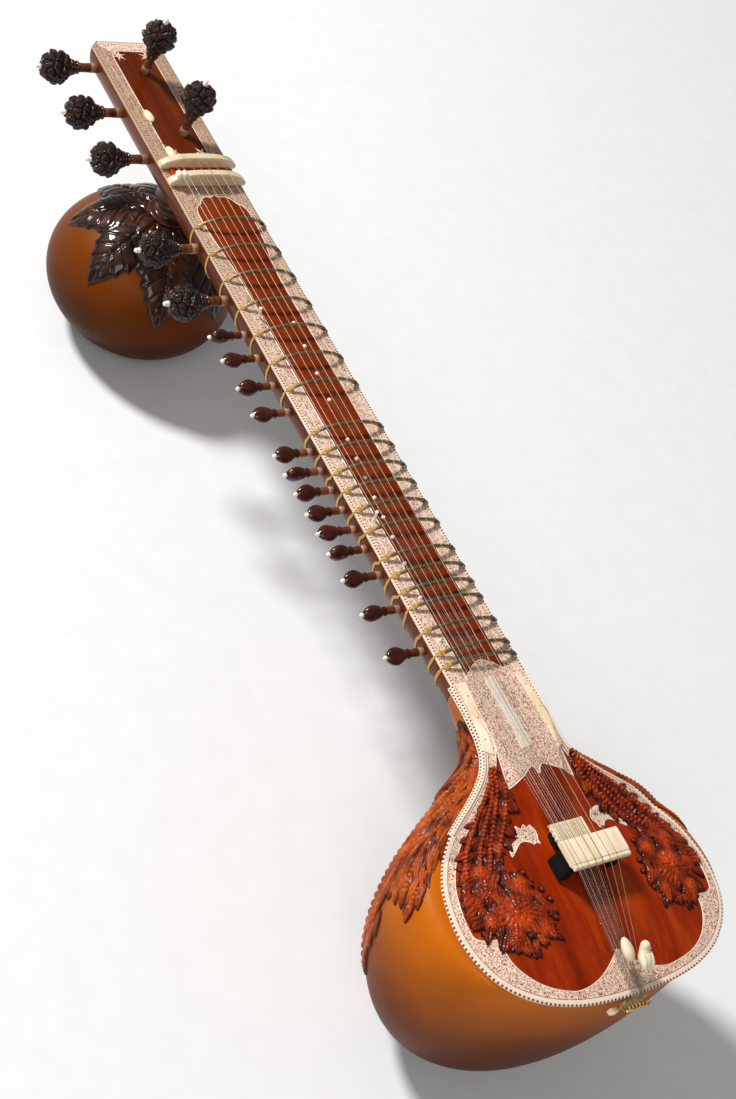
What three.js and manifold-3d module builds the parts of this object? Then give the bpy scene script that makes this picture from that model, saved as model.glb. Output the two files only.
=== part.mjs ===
// A double-gourd sitar, lying face up on its two gourds.
// Millimetres. +X runs along the neck towards the head, +Y towards the side pegs, +Z out of the playing face.
// The origin is the middle of the flat that the main gourd rests on.
import * as THREE from "three";
import { mergeVertices } from "three/addons/utils/BufferGeometryUtils.js";
import Module from "manifold-3d";

const wasm = await Module();
wasm.setup();

// ---- driving dimensions ----
const GAP = 0.3; // clearance between pieces that touch
const FACE_Z = 260; // playing face of the neck above the floor
const PLATE = 3; // thickness of the neck's face plates
const NECK_START_X = 223;
const NUT_X = 893;
const HEAD_END_X = 1128;
const NECK_HALF_WIDTH = 45;
const NECK_BELLY = 41; // depth of the neck's rounded back
const NECK_SHOULDER_Z = FACE_Z - 5; // where the rounded back begins
const NECK_WALL = 7;
const OPEN_STRING = 862; // from the nut to the bridge

const GOURD_WALL = 7;
// The gourd's skin swells out from the pear-shaped rim to a wide belly and closes on a small flat.
const GOURD_SWEEP = 1.4416; // angle from the rim round to the flat, radians
const SWELL_POWER = 0.58; // how fast the outline turns from the rim's pear into the belly's oval
const CLOSE_POWER = 0.677; // how the oval closes towards the flat
const SINK_POWER = 1.475; // how steeply the skin falls below the rim
const BELLY_HALF_LENGTH = 130;
const BELLY_HALF_WIDTH = 207;
const BELLY_X = 51; // middle of the belly's oval near the rim; the flat's middle is at 0
const GOURD_SEAM_X = 150; // where the gourd meets the wooden neck joint
const RIM_DROP = 30; // how far the soundboard's rim lies below the neck's face
const RIM_LEVEL_X = 73; // the rim has dropped all the way from here to the tail
const BOARD_THICK = 4;
const BOARD_CROWN = 18;
const BOARD_MIDDLE_X = 20;
const PEAR_END_X = 193; // neck end of the soundboard

const UPPER_X = 930;
const UPPER_Z = 86;
const UPPER_RADIUS = 111;
const UPPER_HALF_HEIGHT = 89;
const UPPER_MOUTH = 56;
const UPPER_WALL = 6;

const BRIDGE_X = 31.5;
const BRIDGE_Y = 4.5;
const BRIDGE_HALF_DEPTH = 14.5;
const BRIDGE_TOP_Z = 277;
const SMALL_BRIDGE_X = 58;
const SMALL_BRIDGE_Y = 11;
const SMALL_BRIDGE_TOP_Z = 265;
const NUT_HEIGHT = 17.5;
const GUIDE_X = 920;
const TAIL_Y = 8;
const TAIL_HALF_WIDTH = 14;
const TAIL_STRING_GAP = 2.2; // between neighbouring strings at the tail
const MAIN_STRING_RADIUS = 0.35;
const THIN_STRING_RADIUS = 0.25;

const PEG_AXIS_Z = FACE_Z - 14;
const MAIN_SHAFT = 5.5;
const THIN_SHAFT = 4.2;
const PEG_HOLE_GAP = 0.7;
const FRET_ROD = 1.9;
const FRET_FOOT_Y = 40;

// Each fret's place in semitones above the open string, as tied by ear.
const FRET_STEPS = [
  1.4, 2.3, 3.2, 4.2, 5.2, 6.3, 7.4, 9.3, 10.2, 11.2, 12.1, 13.15, 14.3, 15.9, 17, 18.1, 19.2, 21, 22.9, 24,
];
const SIDE_PEGS_X = [1097, 1022, 947, 809, 732]; // main pegs in the side, from the head down
const FACE_PEGS = [
  [1075, -4],
  [973, -8],
]; // main pegs that stand out of the head's face
const THIN_PEGS_X = [683, 650, 612, 576, 523, 498, 473.5, 448, 423.5, 399, 367, 326, 276];
const KNOB_TURNS = [10, 80, 35, 75, 60, 5, 40, 70, 85, 15, 50, 25, 65]; // how far each thin knob is turned, degrees
// Where the main strings cross the bridge and the nut, from the lowest string to the first.
const BRIDGE_STRINGS_Y = [36, 31, 23, 14, 6, -3, -12];
const NUT_STRINGS_Y = [39, 32, 20, 10, 0, -11, -22];

// ---- materials ----
const look = (color, roughness, metalness = 0) =>
  new THREE.MeshStandardMaterial({ color, roughness, metalness, flatShading: true });
const GOURD = look(0xb0600f, 0.35);
const MAHOGANY = look(0x8a2a08, 0.3);
const NECK_WOOD = look(0x9c430c, 0.35);
const PEG_WOOD = look(0x2c1009, 0.3);
const THIN_PEG_WOOD = look(0x4c1a0e, 0.3);
const BONE = look(0xe8dfc2, 0.45);
const EBONY = look(0x15100d, 0.5);
const FRET_METAL = look(0x7d7860, 0.35, 0.9);
const STEEL = look(0xb8b2a2, 0.3, 1);
const BRASS = look(0xb08a35, 0.35, 1);

const sitar = new THREE.Group();

function addPiece(name, geometry, material) {
  const mesh = new THREE.Mesh(geometry, material);
  mesh.name = name;
  sitar.add(mesh);
  return mesh;
}

// ---- joining and cutting ----
function toSolid(geometry) {
  const bare = geometry.clone();
  bare.deleteAttribute("normal");
  bare.deleteAttribute("uv");
  const merged = mergeVertices(bare, 1e-4);
  const mesh = new wasm.Mesh({
    numProp: 3,
    vertProperties: merged.attributes.position.array,
    triVerts: new Uint32Array(merged.index.array),
  });
  return new wasm.Manifold(mesh);
}

function toGeometry(solid) {
  const mesh = solid.getMesh();
  const geometry = new THREE.BufferGeometry();
  geometry.setAttribute("position", new THREE.BufferAttribute(mesh.vertProperties, 3));
  geometry.setIndex(new THREE.BufferAttribute(mesh.triVerts, 1));
  return geometry;
}

// A closed skin over a row of closed rings of points, with a fan over the first and the last ring.
function loft(rings) {
  const count = rings[0].length;
  const points = rings.flat();
  const faces = [];
  for (let r = 0; r + 1 < rings.length; r++)
    for (let i = 0; i < count; i++) {
      const a = r * count + i;
      const b = r * count + ((i + 1) % count);
      faces.push(a, b, b + count, a, b + count, a + count);
    }
  for (const last of [false, true]) {
    const ring = rings[last ? rings.length - 1 : 0];
    const first = last ? (rings.length - 1) * count : 0;
    const middle = ring.reduce((sum, p) => sum.add(p), new THREE.Vector3()).divideScalar(count);
    points.push(middle);
    for (let i = 0; i < count; i++) {
      const a = first + i;
      const b = first + ((i + 1) % count);
      faces.push(...(last ? [a, b, points.length - 1] : [b, a, points.length - 1]));
    }
  }
  const geometry = new THREE.BufferGeometry().setFromPoints(points);
  geometry.setIndex(volumeInside(points, faces) < 0 ? faces.reverse() : faces);
  return geometry;
}

// Six times the volume inside a closed skin, negative where its faces point inwards.
function volumeInside(points, faces) {
  let volume = 0;
  const across = new THREE.Vector3();
  for (let f = 0; f < faces.length; f += 3) {
    const [a, b, c] = [points[faces[f]], points[faces[f + 1]], points[faces[f + 2]]];
    volume += a.dot(across.crossVectors(b, c));
  }
  return volume;
}

function box(x0, x1, y0, y1, z0, z1) {
  const geometry = new THREE.BoxGeometry(x1 - x0, y1 - y0, z1 - z0);
  return geometry.translate((x0 + x1) / 2, (y0 + y1) / 2, (z0 + z1) / 2);
}

// A shape in the YZ plane (its x is Y, its y is Z) pulled along X from x0 to x1.
function extrudeAlongX(outline, x0, x1) {
  const shape = new THREE.Shape(outline.map(([y, z]) => new THREE.Vector2(y, z)));
  const geometry = new THREE.ExtrudeGeometry(shape, { depth: x1 - x0, bevelEnabled: false });
  geometry.applyMatrix4(new THREE.Matrix4().set(0, 0, 1, x0, 1, 0, 0, 0, 0, 1, 0, 0, 0, 0, 0, 1));
  return geometry;
}

// A turned piece about +Z; its profile lists [radius, height].
function turned(profile, sides) {
  return new THREE.LatheGeometry(
    profile.map(([r, z]) => new THREE.Vector2(r, z)),
    sides,
  ).rotateX(Math.PI / 2);
}

// ---- the body: gourd, neck joint and soundboard ----
const PEAR_HALF = new THREE.SplineCurve(
  [
    [-89, 0],
    [-87, 40],
    [-81, 75],
    [-68, 107],
    [-47, 132],
    [-22, 145.5],
    [8, 150],
    [41, 144.5],
    [64, 134],
    [89, 115],
    [104, 96],
    [116, 79],
    [131, 61],
    [145, 51],
    [163, 46],
    [PEAR_END_X, 45.5],
  ].map(([x, y]) => new THREE.Vector2(x, y)),
);
const PEAR_STEPS = 22;

function rimDrop(x) {
  const along = THREE.MathUtils.clamp((PEAR_END_X - x) / (PEAR_END_X - RIM_LEVEL_X), 0, 1);
  return RIM_DROP * along ** 1.5;
}

// One ring of the gourd: tilt 0 is the rim, tilt 1 is the flat underneath, and inset moves it inwards.
function gourdRing(tilt, inset) {
  const angle = tilt * GOURD_SWEEP;
  const swell = Math.sin(angle) ** SWELL_POWER;
  const close = Math.cos(angle) ** CLOSE_POWER;
  const middleX = BELLY_X * (1 - tilt);
  const deep = (Math.sin(angle) / Math.sin(GOURD_SWEEP)) ** SINK_POWER;
  const half = [];
  for (let i = 0; i <= PEAR_STEPS; i++) {
    const pear = PEAR_HALF.getPointAt(i / PEAR_STEPS);
    const turn = (Math.PI * i) / PEAR_STEPS;
    const pearReach = Math.hypot(pear.x - BOARD_MIDDLE_X, pear.y);
    const rimX = pear.x - (inset * (pear.x - BOARD_MIDDLE_X)) / pearReach;
    const rim = FACE_Z - BOARD_THICK - rimDrop(rimX);
    const ovalX = middleX - BELLY_HALF_LENGTH * Math.cos(turn) * close;
    const ovalY = BELLY_HALF_WIDTH * Math.sin(turn) * close;
    let x = (1 - swell) * pear.x + swell * ovalX;
    let y = (1 - swell) * pear.y + swell * ovalY;
    const size = Math.hypot(x - BOARD_MIDDLE_X, y);
    x -= (inset * (x - BOARD_MIDDLE_X)) / size;
    y -= (inset * y) / size;
    const z = rim * (1 - deep) + inset * deep;
    half.push(new THREE.Vector3(x, y, z));
  }
  const mirrored = half.slice(1).map((p) => new THREE.Vector3(p.x, -p.y, p.z));
  return [...half, ...mirrored.reverse()].reverse();
}

const GOURD_TILTS = [0, 0.03, 0.1, 0.22, 0.38, 0.55, 0.7, 0.83, 0.93, 1];

function mainGourd() {
  const outside = GOURD_TILTS.map((t) => gourdRing(t, 0)).reverse();
  const inside = GOURD_TILTS.filter((t) => t !== 0.03).map((t) => gourdRing(t, GOURD_WALL));
  const shell = toSolid(loft([...outside, ...inside]));
  const tailSide = toSolid(box(-200, GOURD_SEAM_X - GAP, -300, 300, -50, 400));
  return toGeometry(shell.intersect(tailSide));
}

// The neck's U-shaped section: flat top at topZ, rounded back of the given depth and half-width.
function neckSection(x, halfWidth, topZ, depth, sides) {
  const ring = [];
  const shoulder = topZ - 2;
  for (let i = 0; i <= sides; i++) {
    const angle = (Math.PI * i) / sides;
    ring.push(
      new THREE.Vector3(x, halfWidth * Math.cos(angle), shoulder - (depth - 2) * Math.sin(angle)),
    );
  }
  ring.push(new THREE.Vector3(x, -halfWidth, topZ));
  ring.push(new THREE.Vector3(x, halfWidth, topZ));
  return ring;
}

// The neck joint's section: flat on top, swelling from the top's half-width to its widest, and round below.
function jointSection(x, topHalf, widest, depth, sides) {
  const topZ = FACE_Z - BOARD_THICK - rimDrop(x) - GAP;
  const topAngle = Math.acos(topHalf / widest);
  const high = depth / (1 + Math.sin(topAngle));
  const ring = [];
  for (let i = 0; i <= sides; i++) {
    const angle = topAngle - ((Math.PI + 2 * topAngle) * i) / sides;
    const z = topZ + high * (Math.sin(angle) - Math.sin(topAngle));
    ring.push(new THREE.Vector3(x, widest * Math.cos(angle), z));
  }
  return ring;
}

// It swells from the neck's section to the gourd's section at the seam.
function neckJoint() {
  const stations = [
    [GOURD_SEAM_X, 49, 71, 114],
    [156, 47.6, 61, 97],
    [164, 46.2, 51, 76],
    [175, 45.8, 47, 62],
    [PEAR_END_X, 45.3, 45.6, 53],
    [NECK_START_X - GAP, NECK_HALF_WIDTH, NECK_HALF_WIDTH, 42],
  ];
  return loft(stations.map(([x, topHalf, widest, depth]) => jointSection(x, topHalf, widest, depth, 18)));
}

function boardHeight(x, reach) {
  return FACE_Z - rimDrop(x) + BOARD_CROWN * (1 - reach * reach) ** 1.3;
}

function soundboard() {
  const half = [];
  for (let i = 0; i <= PEAR_STEPS; i++) half.push(PEAR_HALF.getPointAt(i / PEAR_STEPS));
  const outline = [
    ...half,
    ...half
      .slice(1)
      .map((p) => new THREE.Vector2(p.x, -p.y))
      .reverse(),
  ].reverse();
  const ring = (reach, lower) =>
    outline.map((p) => {
      const x = BOARD_MIDDLE_X + (p.x - BOARD_MIDDLE_X) * reach;
      return new THREE.Vector3(x, p.y * reach, boardHeight(x, reach) - lower);
    });
  const reaches = [0.12, 0.35, 0.58, 0.8, 1];
  const under = reaches.map((r) => ring(r, BOARD_THICK - GAP));
  const top = reaches.map((r) => ring(r, 0)).reverse();
  return loft([...under, ...top]);
}

// ---- the neck ----
function pegHole(x, radius, sides) {
  const hole = new THREE.CylinderGeometry(radius, radius, 30, sides);
  return toSolid(hole.translate(x, NECK_HALF_WIDTH - 5, PEG_AXIS_Z));
}

function neck() {
  const topZ = FACE_Z - PLATE - GAP;
  const depth = topZ - NECK_SHOULDER_Z + NECK_BELLY;
  const outside = [
    neckSection(NECK_START_X, NECK_HALF_WIDTH, topZ, depth, 14),
    neckSection(HEAD_END_X - 10, NECK_HALF_WIDTH, topZ, depth, 14),
    neckSection(HEAD_END_X, NECK_HALF_WIDTH - 9, topZ, depth - 6, 14),
  ];
  const inside = [
    neckSection(NECK_START_X + 14, NECK_HALF_WIDTH - NECK_WALL, topZ + 5, depth - 2, 12),
    neckSection(HEAD_END_X - 14, NECK_HALF_WIDTH - NECK_WALL, topZ + 5, depth - 2, 12),
  ];
  let solid = toSolid(loft(outside)).subtract(toSolid(loft(inside)));
  for (const x of SIDE_PEGS_X) solid = solid.subtract(pegHole(x, MAIN_SHAFT + PEG_HOLE_GAP, 10));
  for (const x of THIN_PEGS_X) solid = solid.subtract(pegHole(x, THIN_SHAFT + PEG_HOLE_GAP, 8));
  return toGeometry(solid);
}

function neckFaceplate() {
  return box(PEAR_END_X + GAP, GUIDE_X - 1, -NECK_HALF_WIDTH, NECK_HALF_WIDTH, FACE_Z - PLATE, FACE_Z);
}

function headstockFace() {
  const corner = 9;
  const shape = new THREE.Shape();
  shape.moveTo(GUIDE_X - 1 + GAP, -NECK_HALF_WIDTH);
  shape.lineTo(HEAD_END_X - corner, -NECK_HALF_WIDTH);
  shape.lineTo(HEAD_END_X, corner - NECK_HALF_WIDTH);
  shape.lineTo(HEAD_END_X, NECK_HALF_WIDTH - corner);
  shape.lineTo(HEAD_END_X - corner, NECK_HALF_WIDTH);
  shape.lineTo(GUIDE_X - 1 + GAP, NECK_HALF_WIDTH);
  for (const [x, y] of FACE_PEGS) {
    const hole = new THREE.Path();
    hole.absarc(x, y, MAIN_SHAFT + PEG_HOLE_GAP, 0, 2 * Math.PI, true);
    shape.holes.push(hole);
  }
  const geometry = new THREE.ExtrudeGeometry(shape, { depth: PLATE, bevelEnabled: false, curveSegments: 12 });
  return geometry.translate(0, 0, FACE_Z - PLATE);
}

// ---- the upper gourd ----
function upperPoint(z, grow) {
  const level = (z - UPPER_Z) / (UPPER_HALF_HEIGHT + grow);
  return (UPPER_RADIUS + grow) * Math.sqrt(1 - level * level);
}

function upperHeight(radius, grow) {
  const out = radius / (UPPER_RADIUS + grow);
  return UPPER_Z + (UPPER_HALF_HEIGHT + grow) * Math.sqrt(1 - out * out);
}

function upperGourd() {
  const topOutside = upperHeight(UPPER_MOUTH, 0);
  const topInside = upperHeight(UPPER_MOUTH, -UPPER_WALL);
  const outside = [0, 7, 20, 42, 66, UPPER_Z, 108, 130, 148].map((z) => [upperPoint(z, 0), z]);
  const inside = [140, 124, 104, UPPER_Z, 64, 40, 20, UPPER_WALL].map((z) => [upperPoint(z, -UPPER_WALL), z]);
  const profile = [
    [0, 0],
    ...outside,
    [UPPER_MOUTH, topOutside],
    [UPPER_MOUTH, topInside],
    ...inside,
    [0, UPPER_WALL],
  ];
  return turned(profile, 24).translate(UPPER_X, 0, 0);
}

function upperGourdCrown() {
  const skin = 4;
  const rimRadius = UPPER_MOUTH + 14;
  const plug = UPPER_MOUTH - 1;
  const seat = [rimRadius, UPPER_MOUTH + 4].map((r) => [r, upperHeight(r, 0) + GAP]);
  const dome = [rimRadius - 2, 50, 34, 18].map((r) => [r, upperHeight(r, skin)]);
  const plugTop = upperHeight(UPPER_MOUTH, 0) + GAP;
  const profile = [
    [0, plugTop - 5],
    [plug, plugTop - 5],
    [plug, plugTop + 0.4],
    ...seat.reverse(),
    ...dome,
    [0, upperHeight(0, skin)],
  ];
  return turned(profile, 24).translate(UPPER_X, 0, 0);
}

function upperGourdMount() {
  const base = upperHeight(0, 4) + GAP;
  return turned(
    [
      [0, base],
      [21, base],
      [24, base + 3],
      [17, base + 6],
      [15, base + 13],
      [19, base + 16],
      [19, base + 19],
      [8, base + 19],
      [8, base + 30],
      [0, base + 30],
    ],
    14,
  ).translate(UPPER_X, 0, 0);
}

function upperGourdSocket() {
  const top = NECK_SHOULDER_Z - NECK_BELLY - GAP;
  const foot = upperHeight(0, 4) + 19 + 2 * GAP;
  return turned(
    [
      [8.5, foot],
      [21, foot],
      [23, foot + 4],
      [20, top - 1],
      [16, top],
      [0, top],
      [0, top - 1.5],
      [8.5, top - 1.5],
      [8.5, foot],
    ],
    14,
  ).translate(UPPER_X, 0, 0);
}

// ---- bridges, nut and string guide ----
function mainBridgePlate() {
  const low = BRIDGE_TOP_Z - 7;
  const plate = box(BRIDGE_X - BRIDGE_HALF_DEPTH, BRIDGE_X + BRIDGE_HALF_DEPTH, -33.5, 33.5, low, BRIDGE_TOP_Z);
  return plate.translate(0, BRIDGE_Y, 0);
}

function mainBridgeFeet() {
  const foot = boardHeight(BRIDGE_X, 0.05) + GAP;
  const head = BRIDGE_TOP_Z - 7 - GAP;
  const outline = [
    [-32, foot],
    [-20, foot],
    [-19, foot + 9],
    [-16, head - 4],
    [26, head - 4],
    [27, foot + 9],
    [28, foot],
    [37, foot],
    [35, head],
    [-31, head],
  ].map(([y, z]) => [y + BRIDGE_Y - 2, z]);
  return extrudeAlongX(outline, BRIDGE_X - 11, BRIDGE_X + 11);
}

function smallBridge() {
  const foot = boardHeight(SMALL_BRIDGE_X, 0.3) + GAP + 2;
  const outline = [
    [-18, foot],
    [-10, foot],
    [-8, SMALL_BRIDGE_TOP_Z - 8],
    [8, SMALL_BRIDGE_TOP_Z - 8],
    [10, foot],
    [18, foot],
    [20, SMALL_BRIDGE_TOP_Z - 5],
    [20, SMALL_BRIDGE_TOP_Z],
    [-20, SMALL_BRIDGE_TOP_Z],
    [-20, SMALL_BRIDGE_TOP_Z - 5],
  ].map(([y, z]) => [y + SMALL_BRIDGE_Y, z]);
  return extrudeAlongX(outline, SMALL_BRIDGE_X - 10, SMALL_BRIDGE_X + 10);
}

// An arched bar across the neck, a little wider than the neck.
function archedBar(x, length, height) {
  const outline = [
    [48.5, FACE_Z + GAP],
    [49, FACE_Z + 7],
  ];
  for (let i = 1; i < 10; i++) {
    const y = 48.5 * Math.cos((Math.PI * i) / 10);
    outline.push([y, FACE_Z + 7 + (height - 7) * Math.sin((Math.PI * i) / 10) ** 0.6]);
  }
  outline.push([-49, FACE_Z + 7], [-48.5, FACE_Z + GAP]);
  return extrudeAlongX(outline, x - length / 2, x + length / 2);
}

// ---- tail fittings ----
function tailpiece() {
  const wall = -89 - 2.5;
  const half = TAIL_HALF_WIDTH;
  const bracket = toSolid(box(wall - 2, wall, -half, half, 209, 229));
  const bar = toSolid(box(wall - 9, wall - 1, -half, half, 217, 220));
  let solid = bracket.add(bar);
  for (let i = -2; i <= 2; i++) {
    const y = (i * (half - 2)) / 2;
    solid = solid.add(toSolid(box(wall - 11, wall - 8, y - 1.2, y + 1.2, 216, 225)));
  }
  return toGeometry(solid.translate([0, TAIL_Y, 0]));
}

const MAIN_TAIL_Z = 231; // height of the strings' loops at the tail
const THIN_TAIL_Z = 228.5;
const TAIL_EDGE = new THREE.Vector3(-93, TAIL_Y, 234);
const STRINGS_OVER_BRIDGE_Z = BRIDGE_TOP_Z + MAIN_STRING_RADIUS + GAP;

function alongTailString(index, distance) {
  const from = new THREE.Vector3(TAIL_EDGE.x, tailStringY(index), TAIL_EDGE.z);
  const to = new THREE.Vector3(BRIDGE_X - BRIDGE_HALF_DEPTH, BRIDGE_STRINGS_Y[index], STRINGS_OVER_BRIDGE_Z);
  const direction = to.clone().sub(from).normalize();
  return { place: from.addScaledVector(direction, distance), direction };
}

function tailStringY(index) {
  return TAIL_Y + TAIL_STRING_GAP * (3 - index);
}

// A bead that rides on a main string near the tail, its long side along the string.
function tuningBead(index, distance, profile) {
  const { place, direction } = alongTailString(index, distance);
  const bead = new THREE.LatheGeometry(
    profile.map(([r, s]) => new THREE.Vector2(r, s)),
    12,
  );
  const turn = new THREE.Quaternion().setFromUnitVectors(new THREE.Vector3(0, 1, 0), direction);
  const lift = Math.max(...profile.map(([r]) => r)) + MAIN_STRING_RADIUS + 3 * GAP;
  const up = new THREE.Vector3(0, 1, 0).cross(direction).normalize().negate();
  place.addScaledVector(up, lift);
  return bead.applyQuaternion(turn).translate(place.x, place.y, place.z);
}

const SWAN_PROFILE = [
  [0, -14],
  [4, -12],
  [7.5, -5],
  [6.5, 1],
  [4.2, 4],
  [5.4, 8],
  [4.4, 12],
  [0, 13.5],
];
const LEAF_PROFILE = [
  [0, -11],
  [4.5, -8],
  [6.2, -1],
  [5, 6],
  [0, 11],
];

// ---- strings ----
// A square wire through a row of points that runs mainly along X.
function wire(points, radius) {
  const corners = [
    [1, 0],
    [0, 1],
    [-1, 0],
    [0, -1],
  ];
  return loft(
    points.map(([x, y, z]) => corners.map(([a, b]) => new THREE.Vector3(x, y + a * radius, z + b * radius))),
  );
}

// The wires of one set, joined where their loops meet at the tail.
function stringSet(wires, tailZ) {
  const loopBar = box(-95.5, -94.5, TAIL_Y - TAIL_HALF_WIDTH, TAIL_Y + TAIL_HALF_WIDTH, tailZ - 0.4, tailZ + 0.4);
  let solid = toSolid(loopBar);
  for (const one of wires) solid = solid.add(toSolid(one));
  return toGeometry(solid);
}

function mainStrings() {
  const top = STRINGS_OVER_BRIDGE_Z;
  const nutTop = FACE_Z + NUT_HEIGHT + MAIN_STRING_RADIUS + GAP;
  const wires = NUT_STRINGS_Y.map((nutY, i) => {
    const tailY = tailStringY(i);
    const bridgeY = BRIDGE_STRINGS_Y[i];
    return wire(
      [
        [-95.1, tailY, MAIN_TAIL_Z],
        [TAIL_EDGE.x, tailY, TAIL_EDGE.z],
        [BRIDGE_X - BRIDGE_HALF_DEPTH, bridgeY, top],
        [BRIDGE_X + BRIDGE_HALF_DEPTH, bridgeY, top],
        [NUT_X - 5, nutY, nutTop],
        [NUT_X + 5, nutY, nutTop],
        [GUIDE_X - 5, nutY, FACE_Z + 10],
      ],
      MAIN_STRING_RADIUS,
    );
  });
  return stringSet(wires, MAIN_TAIL_Z);
}

function thinStringY(index) {
  return SMALL_BRIDGE_Y + 16.5 - 2.75 * index;
}

// Where each sympathetic string goes into the neck's face.
function thinStringEntry(index) {
  const x = THIN_PEGS_X[index];
  return [x, 31 - ((x - 276) / (683 - 276)) * 41];
}

function sympatheticStrings() {
  const wires = THIN_PEGS_X.map((_, i) => {
    const [x, y] = thinStringEntry(i);
    const order = THIN_PEGS_X.length - 1 - i;
    const bridgeY = thinStringY(order);
    const bridgeZ = SMALL_BRIDGE_TOP_Z + THIN_STRING_RADIUS + GAP;
    return wire(
      [
        [-95.1, TAIL_Y + (bridgeY - SMALL_BRIDGE_Y) * 0.4, THIN_TAIL_Z],
        [-91, TAIL_Y + (bridgeY - SMALL_BRIDGE_Y) * 0.4, THIN_TAIL_Z + 2.8],
        [BRIDGE_X, BRIDGE_Y + 2 + (bridgeY - SMALL_BRIDGE_Y) * 0.8, 258],
        [SMALL_BRIDGE_X - 10, bridgeY, bridgeZ],
        [SMALL_BRIDGE_X + 10, bridgeY, bridgeZ],
        [x, y, FACE_Z + 1],
      ],
      THIN_STRING_RADIUS,
    );
  });
  return stringSet(wires, THIN_TAIL_Z);
}

// ---- frets and pegs ----
function fretPlace(step) {
  return NUT_X - OPEN_STRING * (1 - 2 ** (-step / 12));
}

function fret(x, rise) {
  const foot = FACE_Z + GAP + FRET_ROD;
  const steps = 10;
  const rings = [];
  for (let i = 0; i <= steps; i++) {
    const across = Math.cos((Math.PI * i) / steps);
    const y = FRET_FOOT_Y * across;
    const z = foot + rise * (1 - Math.abs(across) ** 2.5);
    const slope = Math.atan((-rise * 2.5 * Math.sign(across) * Math.abs(across) ** 1.5) / FRET_FOOT_Y);
    const ring = [];
    for (let k = 0; k < 5; k++) {
      const turn = (Math.PI * (2 * k + 0.5)) / 5;
      const up = FRET_ROD * Math.sin(turn);
      ring.push(
        new THREE.Vector3(x + FRET_ROD * Math.cos(turn), y - up * Math.sin(slope), z + up * Math.cos(slope)),
      );
    }
    rings.push(ring);
  }
  return loft(rings);
}

// A main peg about +Z with the neck's surface at height 0.
function mainPeg(inside) {
  return turned(
    [
      [0, -inside],
      [4.6, -inside],
      [MAIN_SHAFT, -8],
      [MAIN_SHAFT, 18],
      [8.5, 23],
      [8, 31],
      [15, 35],
      [20.5, 43],
      [21.5, 51],
      [19, 61],
      [11, 69],
      [2.5, 72],
      [2, 76.5],
      [0, 77],
    ],
    10,
  );
}

// A sympathetic peg about +Z with the neck's surface at height 0 and a flattened teardrop knob.
function thinPeg() {
  const peg = turned(
    [
      [0, -36],
      [3.4, -36],
      [THIN_SHAFT, -8],
      [THIN_SHAFT, 17],
      [5.4, 21],
      [8.8, 27],
      [9.5, 33],
      [7, 41],
      [0, 47],
    ],
    8,
  );
  const place = peg.getAttribute("position");
  for (let i = 0; i < place.count; i++) {
    const flat = THREE.MathUtils.smoothstep(place.getZ(i), 22, 30);
    place.setX(i, place.getX(i) * (1 - 0.42 * flat));
  }
  return peg;
}

function addSidePeg(name, geometry, x, turn, material) {
  const mesh = addPiece(name, geometry, material);
  mesh.rotation.set(-Math.PI / 2, 0, 0);
  mesh.geometry.rotateZ(turn);
  const drop = (PEG_AXIS_Z - NECK_SHOULDER_Z) / NECK_BELLY;
  mesh.position.set(x, NECK_HALF_WIDTH * Math.sqrt(1 - drop * drop), PEG_AXIS_Z);
}

// ---- the whole instrument ----
addPiece("main_gourd", mainGourd(), GOURD);
addPiece("neck_joint", neckJoint(), NECK_WOOD);
addPiece("soundboard", soundboard(), MAHOGANY);
addPiece("neck", neck(), NECK_WOOD);
addPiece("neck_faceplate", neckFaceplate(), NECK_WOOD);
addPiece("headstock_face", headstockFace(), MAHOGANY);
addPiece("upper_gourd", upperGourd(), GOURD);
addPiece("upper_gourd_crown", upperGourdCrown(), PEG_WOOD);
addPiece("upper_gourd_mount", upperGourdMount(), BRASS);
addPiece("upper_gourd_socket", upperGourdSocket(), NECK_WOOD);
addPiece("main_bridge_plate", mainBridgePlate(), BONE);
addPiece("main_bridge_feet", mainBridgeFeet(), EBONY);
addPiece("small_bridge", smallBridge(), BONE);
addPiece("nut", archedBar(NUT_X, 9, NUT_HEIGHT), BONE);
addPiece("string_guide", archedBar(GUIDE_X, 9, NUT_HEIGHT - 1), BONE);
addPiece("tailpiece", tailpiece(), BRASS);
addPiece("swan_bead", tuningBead(6, 31, SWAN_PROFILE), BONE);
addPiece("leaf_bead", tuningBead(2, 41, LEAF_PROFILE), BONE);
addPiece("main_strings", mainStrings(), STEEL);
addPiece("sympathetic_strings", sympatheticStrings(), STEEL);

FRET_STEPS.forEach((step, i) => {
  const rise = 11.8 - (4.2 * i) / (FRET_STEPS.length - 1);
  addPiece(`fret_${String(i + 1).padStart(2, "0")}`, fret(fretPlace(step), rise), FRET_METAL);
});

SIDE_PEGS_X.forEach((x, i) => {
  addSidePeg(`side_peg_${i + 1}`, mainPeg(70), x, 0, PEG_WOOD);
});

FACE_PEGS.forEach(([x, y], i) => {
  const mesh = addPiece(`face_peg_${i + 1}`, mainPeg(30), PEG_WOOD);
  mesh.position.set(x, y, FACE_Z);
});

THIN_PEGS_X.forEach((x, i) => {
  const name = `sympathetic_peg_${String(i + 1).padStart(2, "0")}`;
  addSidePeg(name, thinPeg(), x, THREE.MathUtils.degToRad(KNOB_TURNS[i]), THIN_PEG_WOOD);
});

export default sitar;
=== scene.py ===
import math
import random

import bmesh
import bpy
import numpy as np
from mathutils import Matrix, Vector


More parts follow.
